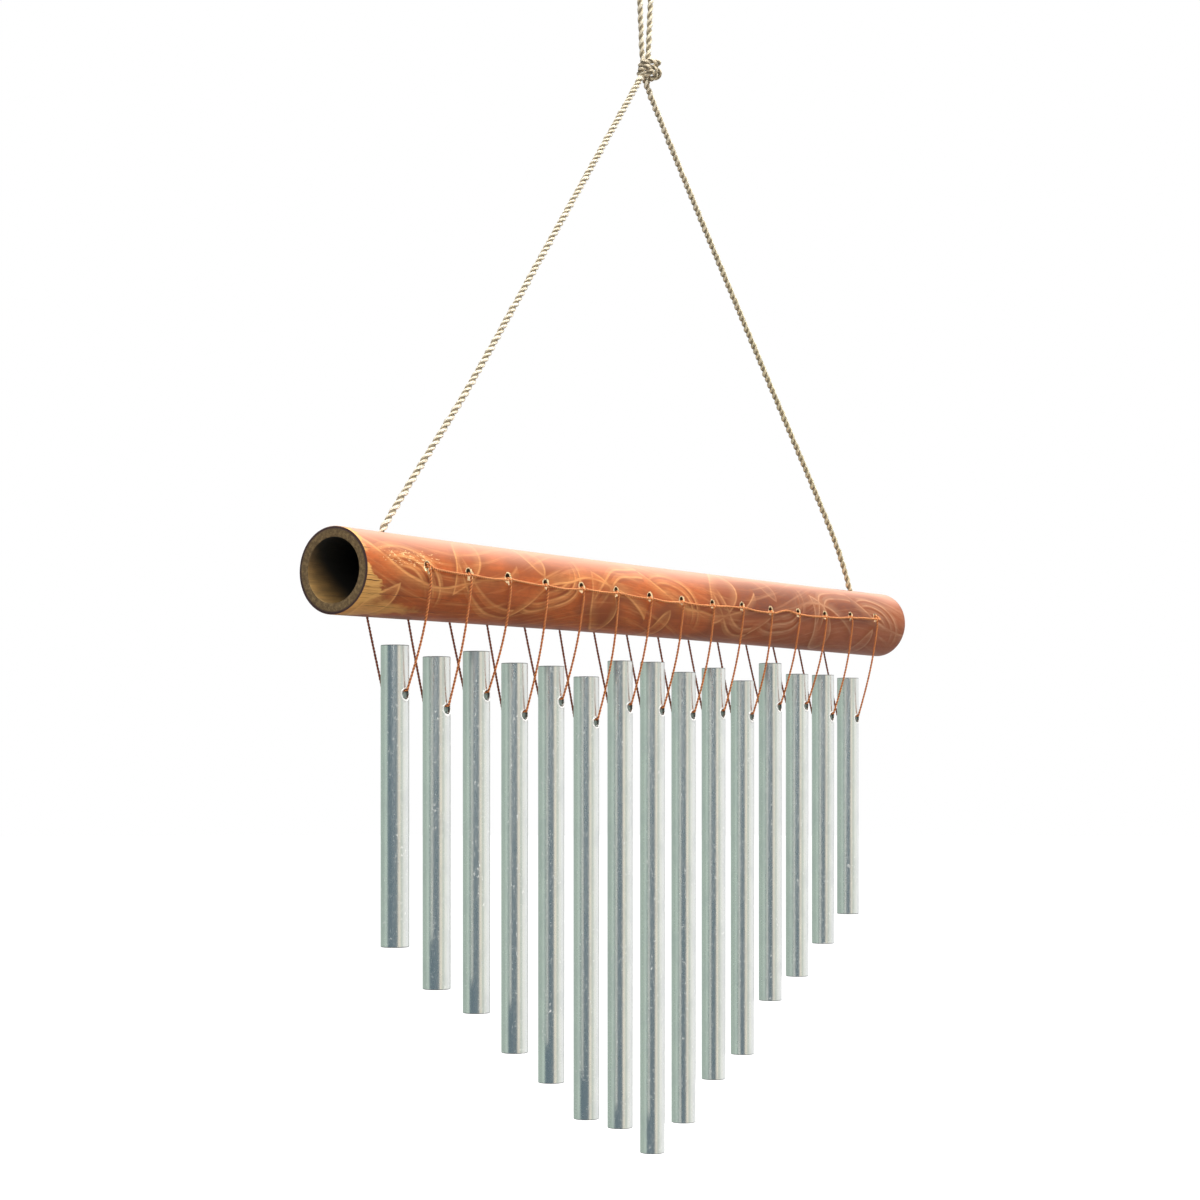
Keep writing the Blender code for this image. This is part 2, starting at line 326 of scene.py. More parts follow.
@dataclass(frozen=True)
class Comb:
    """Strokes on rings round a centre, in millimetres: the first ring, the gap between two, and how many."""

    centre: Pair
    first: float
    gap: float
    count: int


@dataclass(frozen=True)
class Leaf:
    """A pointed leaf in millimetres: its middle, and the radius of the two rounds that overlap in it."""

    middle: Pair
    span: float


@dataclass(frozen=True)
class Stroke:
    """A line swept through wet stain: how far it lightens the skin, and how far pushed stain darkens it."""

    light: Shade
    dark: Shade

    def over(self, other: "Stroke") -> "Stroke":
        """This stroke together with another."""
        return Stroke(self.light | other.light, self.dark | other.dark)

    def faded(self, share: Shade) -> "Stroke":
        """This stroke at a share of its strength."""
        return Stroke(self.light * share, self.dark * share)


@dataclass(frozen=True)
class StainedSkin(Finish):
    """Orange-brown stain on the bamboo's skin, with pale swept arcs and leaves, under a thin lacquer, with a
    painted highlight along the top and painted shade on the upper front towards the right.

    Lengths are in millimetres, along the bamboo and round it.
    """

    culm: Culm
    rust: Colour = (0.47, 0.112, 0.027)
    umber: Colour = (0.27, 0.070, 0.021)
    rose: Colour = (0.34, 0.108, 0.050)
    honey: Colour = (0.82, 0.39, 0.135)
    raw: Colour = (0.74, 0.41, 0.125)
    # Painted highlight: the paler colour laid along the top of the bamboo, where light from above falls.
    painted_highlight: Colour = (0.84, 0.52, 0.41)
    # Painted shade: the dark colour laid over the upper front towards the right.
    painted_shade: Colour = (0.165, 0.055, 0.032)
    fawn: Colour = (0.56, 0.30, 0.165)
    flake: Colour = (0.90, 0.62, 0.30)
    crack: Colour = (0.040, 0.016, 0.010)
    rose_span: Pair = (230.0, 470.0)
    fawn_span: Pair = (230.0, 360.0)
    # Where the painted shade lies, along the bamboo and round it.
    painted_shade_start: Pair = (250.0, 320.0)
    painted_shade_end: Pair = (470.0, 444.0)
    painted_shade_low: Pair = (-8.0, 1.0)
    painted_shade_high: Pair = (24.0, 12.0)
    painted_highlight_span: Pair = (5.0, 23.0)
    flake_start: Pair = (4.0, 18.0)
    flake_end: Pair = (60.0, 40.0)
    flake_arc: float = 6.5
    flake_reach: Pair = (7.0, 2.0)
    motif_pitch: float = 104.0
    line_width: float = 1.15
    soft_edge: float = 0.3
    sweep_width: float = 6.0
    sweep_strength: float = 0.42
    sweep_centre: Pair = (56.0, 78.0)
    sweep_radius: float = 84.0
    upper_comb: Comb = Comb((20.0, -20.0), 24.0, 4.6, 3)
    lower_comb: Comb = Comb((98.0, 20.0), 32.0, 5.2, 2)
    leaves: tuple[Leaf, ...] = (Leaf((72.0, 8.0), 27.0), Leaf((16.0, -17.0), 18.0))
    leaf_slant: Pair = (0.62, -0.30)
    cracks: tuple[Crack, ...] = (
        Crack(-2.6, 0.0, 7.0, 0.20), Crack(-4.6, 0.0, 10.0, 0.26), Crack(-7.4, 0.0, 5.0, 0.22),
        Crack(-10.5, 0.0, 60.0, 0.11), Crack(-17.0, 8.0, 28.0, 0.16), Crack(9.0, 0.0, 6.0, 0.16),
        Crack(-18.5, 36.0, 58.0, 0.16), Crack(24.0, 418.0, 452.0, 0.80),
    )
    crack_fade: Pair = (2.0, 3.0)

    @staticmethod
    def _ring(u: Shade, v: Shade, centre: Pair) -> Shade:
        """Distance from a centre on the unrolled skin."""
        across, up = u - centre[0], v - centre[1]
        return (across * across + up * up).root()

    def _stroke(self, distance: Shade) -> Stroke:
        """Draw a soft pale line that fades out ahead of it, with darker stain pushed up behind.

        Args:
            distance: The distance from the line, negative behind it.

        Returns:
            The stroke.
        """
        line = abs(distance).smooth(self.line_width, self.line_width * 0.15)
        ahead = distance.smooth(-self.soft_edge, self.soft_edge)
        sweep = distance.smooth(self.sweep_width, 0.0) * ahead * self.sweep_strength
        pushed = distance.smooth(-self.sweep_width, -self.line_width) * (1.0 - ahead)
        return Stroke(line | sweep, pushed)

    def _combed(self, u: Shade, v: Shade, comb: Comb) -> Stroke:
        """Draw several strokes side by side, as from a comb drawn through the wet stain.

        Args:
            u: The place along the motif.
            v: The place round the bamboo.
            comb: Where the strokes lie.

        Returns:
            The strokes together.
        """
        ring = self._ring(u, v, comb.centre)
        inner = comb.first - comb.gap / 2
        outer = inner + comb.count * comb.gap
        beat = (ring - inner) % comb.gap - comb.gap / 2
        inside = ring.smooth(inner, inner + self.soft_edge)
        outside = ring.smooth(outer, outer - self.soft_edge)
        return self._stroke(beat).faded(inside * outside)

    def _leaf(self, u: Shade, v: Shade, leaf: Leaf) -> Stroke:
        """Draw a leaf where two rounds overlap, at a slant and paler towards its outline.

        Args:
            u: The place along the motif.
            v: The place round the bamboo.
            leaf: Where the leaf lies.

        Returns:
            The leaf's outline.
        """
        across, up = (leaf.span * share for share in self.leaf_slant)
        one = self._ring(u, v, (leaf.middle[0] - across, leaf.middle[1] - up))
        two = self._ring(u, v, (leaf.middle[0] + across, leaf.middle[1] + up))
        return self._stroke(leaf.span - (one | two))

    def _lines(self, along: Shade, arc: Shade) -> Stroke:
        """Draw all the swept lines: combed arcs, leaves and a sweep, turned over in every second repeat.

        Args:
            along: The place along the bamboo.
            arc: The place round it.

        Returns:
            The lines together, stronger and weaker by stretches.
        """
        nodes = along.nodes
        wander = nodes.noise(along, arc, 0.0, scale=0.022, detail=1.0) - 0.5
        wandered = along + wander * 20.0
        turned = nodes.math("FLOOR", wandered / self.motif_pitch) % 2.0
        u = wandered % self.motif_pitch
        v = (arc - wander * 12.0) * (1.0 - turned * 2.0)
        upper = self._combed(u, v, self.upper_comb).faded((v + u * 0.5).smooth(8.0, 20.0))
        lower = self._combed(u, v, self.lower_comb).faded((v - u * 0.15).smooth(2.0, -10.0))
        sweep = self._stroke(self._ring(u, v, self.sweep_centre) - self.sweep_radius)
        leaves = [self._leaf(u, v, leaf) for leaf in self.leaves]
        strength = nodes.noise(along, arc, 7.0, scale=0.06).smooth(0.30, 0.62)
        return reduce(Stroke.over, [upper, lower, sweep, *leaves]).faded(0.40 + strength * 0.60)

    def _splits(self, along: Shade, arc: Shade) -> Shade:
        """Find where the skin has split, mostly at the left end.

        Args:
            along: The place along the bamboo.
            arc: The place round it.

        Returns:
            1 in a split and 0 beside it.
        """
        wander = (along.nodes.noise(along * 0.10, 0.0, 2.0) - 0.5) * 2.0
        fade_in, fade_out = self.crack_fade
        lines = []
        for crack in self.cracks:
            line = abs(arc + wander - crack.arc).smooth(crack.half_width, crack.half_width * 0.35)
            line = line * along.smooth(crack.end, crack.end - fade_out)
            lines.append(line * along.smooth(crack.start - fade_in, crack.start))
        return reduce(Shade.__or__, lines)

    def _brushed(self, along: Shade, arc: Shade) -> Shade:
        """Soft feathered strokes between the lines, slanting to and fro along the bamboo."""
        slant = along.nodes.math("SINE", along / 38.0) * 14.0
        return along.nodes.noise(along * 0.018, (arc + slant) * 0.34, 21.0, detail=3.0, roughness=0.62)

    def _stain(self, along: Shade, arc: Shade, grain: Shade) -> Socket:
        """Colour the stain: rust to umber in soft blotches, rosier to the right, with the pale lines in it,
        painted shade on the upper front towards the right, and a painted highlight along the top.

        Args:
            along: The place along the bamboo.
            arc: The place round it.
            grain: The grain, from 0 to 1.

        Returns:
            The stain's colour.
        """
        nodes = along.nodes
        streak = nodes.noise(along * 0.012, arc * 0.55, 3.0)
        blotch = nodes.noise(along * 0.030, arc * 0.060, 5.0, detail=3.0)
        mottle = nodes.noise(along * 0.20, arc * 0.42, 13.0, detail=5.0, roughness=0.7)
        brushed = self._brushed(along, arc).smooth(0.50, 0.74)
        right = (along + blotch * 120.0).smooth(*self.rose_span)
        # Painted shade on the upper front towards the right, which also weakens the painted highlight there.
        shoulder_shade = arc.smooth(*self.painted_shade_low) * arc.smooth(*self.painted_shade_high)
        shoulder_shade = shoulder_shade * along.smooth(*self.painted_shade_start) * along.smooth(*self.painted_shade_end)
        # Painted highlight along the top, weaker where the painted shade lies.
        top = arc.smooth(*self.painted_highlight_span) * (0.57 - shoulder_shade * 0.30)
        lines = self._lines(along, arc)
        pale = nodes.mix(along.smooth(*self.fawn_span), self.honey, self.fawn)
        return nodes.coats(
            self.rust,
            (blotch.smooth(0.42, 0.68), self.umber),
            (right * 0.85, self.rose),
            (streak.smooth(0.50, 0.72) * 0.45, self.umber),
            (shoulder_shade * 0.92, self.painted_shade),
            (mottle.smooth(0.56, 0.36) * 0.42, self.umber),
            (lines.dark * 0.75, self.umber),
            (brushed * 0.34, pale),
            (lines.light * (0.45 + mottle * 0.5), pale),
            (grain.smooth(0.56, 0.36) * 0.30, self.umber),
            (top, self.painted_highlight),
        )

    def paint(self, nodes: Nodes) -> dict[str, Any]:
        """Paint stain, bare patches at the left end, flaked lacquer, splits and grain.

        Args:
            nodes: The finish's node tree.

        Returns:
            What feeds the shader, by socket.
        """
        along, arc, _ = self.culm.coordinates(nodes)
        grain = nodes.noise(along * 0.045, arc * 1.6, 0.0, detail=4.0, roughness=0.62)
        patch = nodes.noise(along * 0.10, arc * 0.16, 9.0, detail=3.0)
        chipped = nodes.noise(along * 0.15, arc, 11.0, detail=4.0, roughness=0.65)
        flaked = nodes.noise(along * 0.30, arc * 1.2, 17.0, detail=5.0, roughness=0.75)
        low_patch = (along + patch * 15.0 + chipped * 9.0 + abs(arc + 9.0) * 1.1).smooth(26.5, 24.0)
        top_patch = (along + patch * 30.0 + abs(arc - 17.0) * 0.8).smooth(24.0, 19.0)
        tail_patch = (along + patch * 60.0 + abs(arc + 19.0) * 5.0).smooth(84.0, 62.0)
        bare = low_patch | top_patch | tail_patch * 0.7
        zone = along.smooth(*self.flake_end) * along.smooth(*self.flake_start)
        zone = zone * abs(arc - self.flake_arc).smooth(*self.flake_reach)
        flakes = (flaked + zone * 0.15).smooth(0.70, 0.73)
        splits = self._splits(along, arc)
        colour = nodes.coats(
            self._stain(along, arc, grain),
            (bare * (0.55 + grain.smooth(0.40, 0.54) * 0.35), self.raw),
            (flakes * 0.8, self.flake),
            (splits * chipped.smooth(0.28, 0.52) * 0.9, self.crack),
        )
        height = grain * 0.7 + patch * 0.2 - flakes * 0.5 - splits * 1.5
        return {
            "Base Color": colour,
            "Roughness": 0.44 + grain * 0.18 + bare * 0.1,
            "Specular IOR Level": 0.08,
            "Coat Weight": 0.12,
            "Coat Roughness": 0.30,
            "Normal": nodes.bump(height, strength=0.35, distance=0.3 * MM),
        }


@dataclass(frozen=True)
class SawnRim(Finish):
    """The sawn end of the bamboo: grey-brown with dark pores, more of them towards the dark skin.

    Spans are distances from the bamboo's axis, in millimetres.
    """

    culm: Culm
    wood: Colour = (0.130, 0.082, 0.034)
    pale: Colour = (0.250, 0.165, 0.072)
    pore: Colour = (0.055, 0.034, 0.020)
    skin: Colour = (0.050, 0.022, 0.022)
    pore_span: Pair = (12.0, 17.0)
    outer_span: Pair = (16.9, 17.8)
    inner_span: Pair = (14.3, 13.8)

    def paint(self, nodes: Nodes) -> dict[str, Any]:
        """Paint pores, saw marks and the dark edges of the wall.

        Args:
            nodes: The finish's node tree.

        Returns:
            What feeds the shader, by socket.
        """
        _, _, out = self.culm.coordinates(nodes)
        x, y, z = nodes.place()
        mottle = nodes.noise(x, y, z, scale=620.0, detail=4.0, roughness=0.7)
        pores = nodes.cells(x, y, z, scale=1700.0).smooth(0.42, 0.16) * out.smooth(*self.pore_span)
        saw = nodes.noise(z * 900.0, y * 40.0, 0.0)
        outer_edge = (out + mottle * 0.8).smooth(*self.outer_span)
        inner_edge = (out + mottle * 0.6).smooth(*self.inner_span)
        colour = nodes.coats(
            self.wood,
            (mottle.smooth(0.38, 0.66), self.pale),
            (pores * 0.65, self.pore),
            (outer_edge, self.skin),
            (inner_edge * 0.5, self.pore),
        )
        height = mottle * 0.6 - pores + saw * 0.4
        return {
            "Base Color": colour,
            "Roughness": 0.85,
            "Normal": nodes.bump(height, strength=0.55, distance=0.4 * MM),
        }


@dataclass(frozen=True)
class BoreWall(Finish):
    """The inside of the bamboo: olive tan with papery fibre, with painted shade that darkens it between two
    depths in millimetres.
    """

    culm: Culm
    tan: Colour = (0.62, 0.36, 0.115)
    olive: Colour = (0.30, 0.185, 0.070)
    # Painted shade colour: near black deep in the bore and under its upper wall.
    deep: Colour = (0.010, 0.010, 0.008)
    painted_shade_span: Pair = (-14.0, 18.0)

    def paint(self, nodes: Nodes) -> dict[str, Any]:
        """Paint lengthwise fibre, dark where no light falls: deep inside and under the upper wall.

        Args:
            nodes: The finish's node tree.

        Returns:
            What feeds the shader, by socket.
        """
        along, arc, _ = self.culm.coordinates(nodes)
        rise = (nodes.place()[2] - self.culm.axis_height) / MM
        fibre = nodes.noise(along * 0.05, arc * 1.1, 1.0, detail=3.0, roughness=0.6)
        stain = nodes.noise(along * 0.04, arc * 0.10, 4.0)
        colour = nodes.coats(
            self.tan,
            ((fibre * 0.3 + stain * 0.7).smooth(0.36, 0.64), self.olive),
            # Painted shade: darker deeper in and higher up the wall.
            ((along + rise * 1.3).smooth(*self.painted_shade_span), self.deep),
        )
        return {
            "Base Color": colour,
            "Roughness": 0.80,
            "Normal": nodes.bump(fibre, strength=0.6, distance=0.5 * MM),
        }


@dataclass(frozen=True)
class ChippedEdge(Finish):
    """Bare cream fibre where the drill broke the skin."""

    cream: Colour = (0.95, 0.78, 0.47)
    brown: Colour = (0.24, 0.11, 0.045)

    def paint(self, nodes: Nodes) -> dict[str, Any]:
        """Paint short torn fibre.

        Args:
            nodes: The finish's node tree.

        Returns:
            What feeds the shader, by socket.
        """
        x, y, z = nodes.place()
        fibre = nodes.noise(x * 900.0, y * 500.0, z * 2600.0)
        return {
            "Base Color": nodes.mix(fibre.smooth(0.58, 0.70), self.cream, self.brown),
            "Roughness": 0.9,
            "Normal": nodes.bump(fibre, strength=0.8, distance=0.3 * MM),
        }


@dataclass(frozen=True)
class DrawnAluminium(Finish):
    """Bright drawn tube with faint lengthwise die lines, handling scratches and a few specks."""

    metal: Colour = (0.80, 0.82, 0.80)
    dull: Colour = (0.66, 0.69, 0.69)
    rubbed: Colour = (0.95, 0.96, 0.95)
    roughness: float = 0.20
    metallic: float = 1.0

    def paint(self, nodes: Nodes) -> dict[str, Any]:
        """Paint die lines, scratches, scuffs and specks.

        Args:
            nodes: The finish's node tree.

        Returns:
            What feeds the shader, by socket.
        """
        x, y, z = nodes.place()
        die = nodes.noise(x * 1400.0, y * 1400.0, z * 12.0, detail=3.0, roughness=0.6)
        cloud = nodes.noise(x, y, z * 0.5, scale=150.0, detail=3.0)
        rub = nodes.noise(x * 700.0, y * 700.0, z * 1500.0, detail=3.0, roughness=0.7)
        worn = nodes.noise(x, y, z * 0.8, scale=800.0, detail=3.0, roughness=0.65)
        specks = nodes.cells(x, y, z * 0.7, scale=560.0).smooth(0.11, 0.04)
        scratch = rub.smooth(0.58, 0.70) * cloud.smooth(0.40, 0.56)
        scuff = worn.smooth(0.62, 0.68) * cloud.smooth(0.46, 0.58)
        marks = scratch | scuff | specks * 0.5
        dulled = cloud.smooth(0.40, 0.68)
        height = die * 0.45 + cloud * 0.25 + marks * 0.45 + scuff * rub * 3.0
        return {
            "Base Color": nodes.coats(self.metal, (dulled * 0.5, self.dull), (marks * 0.8, self.rubbed)),
            "Metallic": self.metallic * (1.0 - scuff * 0.6),
            "Roughness": self.roughness + die * 0.08 + cloud * 0.08 + marks * 0.35,
            "Normal": nodes.bump(height, strength=0.12, distance=0.2 * MM),
        }


@dataclass(frozen=True)
class SpunYarn(Finish):
    """Spun fibre of a cord or thread: streaks along each ply, paler and darker lengths, a dry surface, with
    painted shade where the plies meet and over one side or part.
    """

    pale: Colour
    deep: Colour
    second_ply: Colour
    groove_shade: Colour
    shaded: Colour
    shade_from: Point
    shade_to: Point
    fibre_length: float
    groove_shade_reach: Pair = (0.13, 0.26)
    sheen: float = 0.25

    def _painted_shade_share(self, nodes: Nodes) -> Shade:
        """Find how far the painted shade reaches: the darker colour over the side or part of the yarn that
        the light misses.

        Args:
            nodes: The finish's node tree.

        Returns:
            0 at shade_from, rising to its most at shade_to.
        """
        start = np.array(self.shade_from)
        way = np.array(self.shade_to) - start
        step = way / way.dot(way)
        x, y, z = (place * pace for place, pace in zip(nodes.place(), step.tolist()))
        return (x + y + z - float(start.dot(step))).smooth(0.0, 1.0) * 0.85

    def paint(self, nodes: Nodes) -> dict[str, Any]:
        """Paint fibre streaks, painted shade where the plies meet, and painted shade over the side or part
        that the light misses.

        Args:
            nodes: The finish's node tree.

        Returns:
            What feeds the shader, by socket.
        """
        length, turn = nodes.length_and_turn()
        run = length / self.fibre_length
        streak = nodes.noise(run, turn * 11.0 + run * 0.9, 0.0, detail=4.0, roughness=0.7)
        lengths = nodes.noise(run * 0.16, turn * 0.8, 5.0)
        second = turn.smooth(0.999, 1.001)
        inward = 0.5 - abs(turn % 1.0 - 0.5) + second * 0.03
        colour = nodes.coats(
            self.pale,
            ((streak * 0.7 + lengths * 0.3).smooth(0.38, 0.62), self.deep),
            (second * 0.7, self.second_ply),
            # Painted shade over the side or part that the light misses.
            (self._painted_shade_share(nodes), self.shaded),
            # Painted shade where the plies meet.
            (inward.smooth(*self.groove_shade_reach) * 0.85, self.groove_shade),
        )
        return {
            "Base Color": colour,
            "Roughness": 0.82,
            "Sheen Weight": self.sheen,
            "Sheen Roughness": 0.5,
            "Normal": nodes.bump(streak, strength=1.0, distance=0.4 * MM),
        }


# Painted shade: the walls of the drilled holes are coloured near black, for the shade inside the holes.
SHADED_DRILLED_WALL = ChippedEdge("drilled_wall", cream=(0.085, 0.050, 0.026), brown=(0.020, 0.014, 0.010))
CHIPPED_SKIN = ChippedEdge("chipped_edge")

TUBE_METAL = DrawnAluminium("drawn_aluminium")
RIM_METAL = DrawnAluminium(
    "sawn_rim_metal",
    metal=(0.20, 0.22, 0.22),
    dull=(0.15, 0.17, 0.17),
    roughness=0.50,
)
BURR_METAL = DrawnAluminium(
    "raised_burr",
    metal=(0.95, 0.95, 0.94),
    dull=(0.88, 0.89, 0.88),
    roughness=0.45,
    metallic=0.4,
)

# Painted shade: the cord's colour deepens from left to right, most on the right leg.
CORD_YARN = SpunYarn(
    "cord_yarn",
    pale=(1.0, 0.93, 0.78),
    deep=(0.90, 0.80, 0.62),
    second_ply=(0.88, 0.77, 0.58),
    groove_shade=(0.24, 0.19, 0.105),
    shaded=(0.71, 0.64, 0.41),
    shade_from=(-0.06, 0.0, 0.0),
    shade_to=(0.14, 0.0, 0.0),
    fibre_length=4.0 * MM,
)
# Painted shade: a darker copy of the cord's yarn for the knot and the stoppers, with more painted shade over
# the knot's lower right.
SHADED_KNOT_YARN = replace(
    CORD_YARN,
    name="knot_yarn",
    pale=(0.90, 0.80, 0.62),
    deep=(0.64, 0.54, 0.38),
    second_ply=(0.76, 0.66, 0.49),
    groove_shade=(0.13, 0.10, 0.055),
    shaded=(0.50, 0.43, 0.27),
    shade_from=(-0.003, 0.0, -0.035),
    shade_to=(0.005, 0.0, -0.048),
)
# Painted shade: the strands behind the bamboo take the darker shaded colour.
THREAD_YARN = SpunYarn(
    "thread_yarn",
    pale=(1.0, 0.43, 0.135),
    deep=(1.0, 0.34, 0.09),
    second_ply=(1.0, 0.35, 0.10),
    groove_shade=(0.36, 0.075, 0.028),
    shaded=(0.25, 0.105, 0.085),
    shade_from=(0.0, 0.001, 0.0),
    shade_to=(0.0, 0.006, 0.0),
    fibre_length=1.6 * MM,
    groove_shade_reach=(0.10, 0.25),
    sheen=0.05,
)
# Painted light: a lighter copy of the thread's yarn, for the lacing on the lit upper front of the bamboo.
LIT_LACING_YARN = replace(
    THREAD_YARN,
    name="lacing_yarn",
    pale=(1.0, 0.50, 0.20),
    deep=(1.0, 0.36, 0.11),
    second_ply=(1.0, 0.42, 0.14),
    groove_shade=(0.42, 0.10, 0.035),
    groove_shade_reach=(0.12, 0.26),
)


def added(operator: Callable[..., set[str]], **settings: Any) -> Piece:
    """Add a primitive with nothing else selected, with its place applied to its mesh.

    Args:
        operator: The bpy.ops.mesh operator that adds it.
        **settings: The operator's settings.

    Returns:
        The new object, at the origin, unturned and unscaled.
    """
    bpy.ops.object.select_all(action="DESELECT")
    operator(**settings)
    bpy.ops.object.transform_apply(location=True, rotation=True, scale=True)
    return bpy.context.view_layer.objects.active


def linked(name: str, data: bpy.types.ID) -> Piece:
    """Make an object of a mesh, lamp or camera and put it in the scene.

    Args:
        name: The object's name.
        data: What it shows.

    Returns:
        The new object, at the origin.
    """
    obj = bpy.data.objects.new(name, data)
    bpy.context.scene.collection.objects.link(obj)
    return obj


def apply_modifier(obj: Piece, kind: str, **settings: Any) -> None:
    """Put one modifier on an object and apply it.

    Args:
        obj: The object.
        kind: The modifier's type.
        **settings: The modifier's settings.
    """
    modifier = obj.modifiers.new(kind.lower(), kind)
    for name, value in settings.items():
        setattr(modifier, name, value)
    bpy.context.view_layer.objects.active = obj
    bpy.ops.object.modifier_apply(modifier=modifier.name)


def cut(obj: Piece, cutter: Piece, **settings: Any) -> None:
    """Cut a shape out of an object, and remove the shape."""
    apply_modifier(obj, "BOOLEAN", object=cutter, operation="DIFFERENCE", **settings)
    bpy.data.objects.remove(cutter)


def select_only(*pieces: Piece) -> None:
    """Select some objects and nothing else, with the first of them active.

    Args:
        *pieces: The objects.
    """
    bpy.ops.object.select_all(action="DESELECT")
    for piece in pieces:
        piece.select_set(True)
    bpy.context.view_layer.objects.active = pieces[0]


def joined(pieces: Sequence[Piece]) -> Piece:
    """Join several objects into the first of them.

    Args:
        pieces: The objects.

    Returns:
        The first of them.
    """
    select_only(*pieces)
    bpy.ops.object.join()
    return pieces[0]


def smooth_by_angle(obj: Piece, angle: float) -> None:
    """Shade an object smooth but for edges sharper than an angle."""
    select_only(obj)
    bpy.ops.object.shade_smooth_by_angle(angle=angle)


def corners(obj: Piece) -> np.ndarray:
    """Read an object's mesh points.

    Args:
        obj: The object.

    Returns:
        The points, one row each.
    """
    flat = np.empty(len(obj.data.vertices) * 3)
    obj.data.vertices.foreach_get("co", flat)
    return flat.reshape(-1, 3)


def set_corners(obj: Piece, places: np.ndarray) -> None:
    """Move an object's mesh points to new places."""
    obj.data.vertices.foreach_set("co", places.ravel())
    obj.data.update()


def stand_in(piece: Piece, node: str, body: str | None = None) -> None:
    """Let a finished piece stand for a node, and report it.

    Args:
        piece: The piece.
        node: The node that it replaces.
        body: The body that it rides on, if it rides on one.
    """
    if body:
        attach(piece, body)
    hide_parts(node)
    LOG.info("%s: %d points, for %s", piece.name, len(piece.data.vertices), node)


def even_line(line: np.ndarray, step: float) -> np.ndarray:
    """Read a line again at even steps, close to the given one.

    Args:
        line: The line's points, one row each.
        step: The distance between the points that are read, in metres.

    Returns:
        The points that are read, one row each.
    """
    run = np.concatenate([[0.0], np.cumsum(np.linalg.norm(np.diff(line, axis=0), axis=1))])
    marks = np.linspace(0.0, run[-1], max(2, round(run[-1] / step) + 1))
    return np.column_stack([np.interp(marks, run, line[:, axis]) for axis in range(3)])


def smooth_line(points: Sequence[Point], step: float, pieces: int = 16) -> np.ndarray:
    """Read even steps from a smooth curve that passes through given points.

    Args:
        points: The points, in metres.
        step: The distance between the points that are read, in metres.
        pieces: How many pieces the curve has between two chosen points.

    Returns:
        The points along the curve, one row each.
    """
    chosen = np.array([tuple(point) for point in points], float)
    padded = np.vstack([2 * chosen[0] - chosen[1], chosen, 2 * chosen[-1] - chosen[-2]])
    t = np.linspace(0.0, 1.0, pieces, endpoint=False)[:, None]
    spans = []
    for before, start, end, after in zip(padded, padded[1:], padded[2:], padded[3:]):
        bend = 2 * before - 5 * start + 4 * end - after
        twist = 3 * (start - end) + after - before
        spans.append(start + 0.5 * t * ((end - before) + t * (bend + t * twist)))
    return even_line(np.vstack([*spans, chosen[-1:]]), step)


def line_length(line: np.ndarray) -> float:
    """The length of a line, in metres."""
    return float(np.linalg.norm(np.diff(line, axis=0), axis=1).sum())


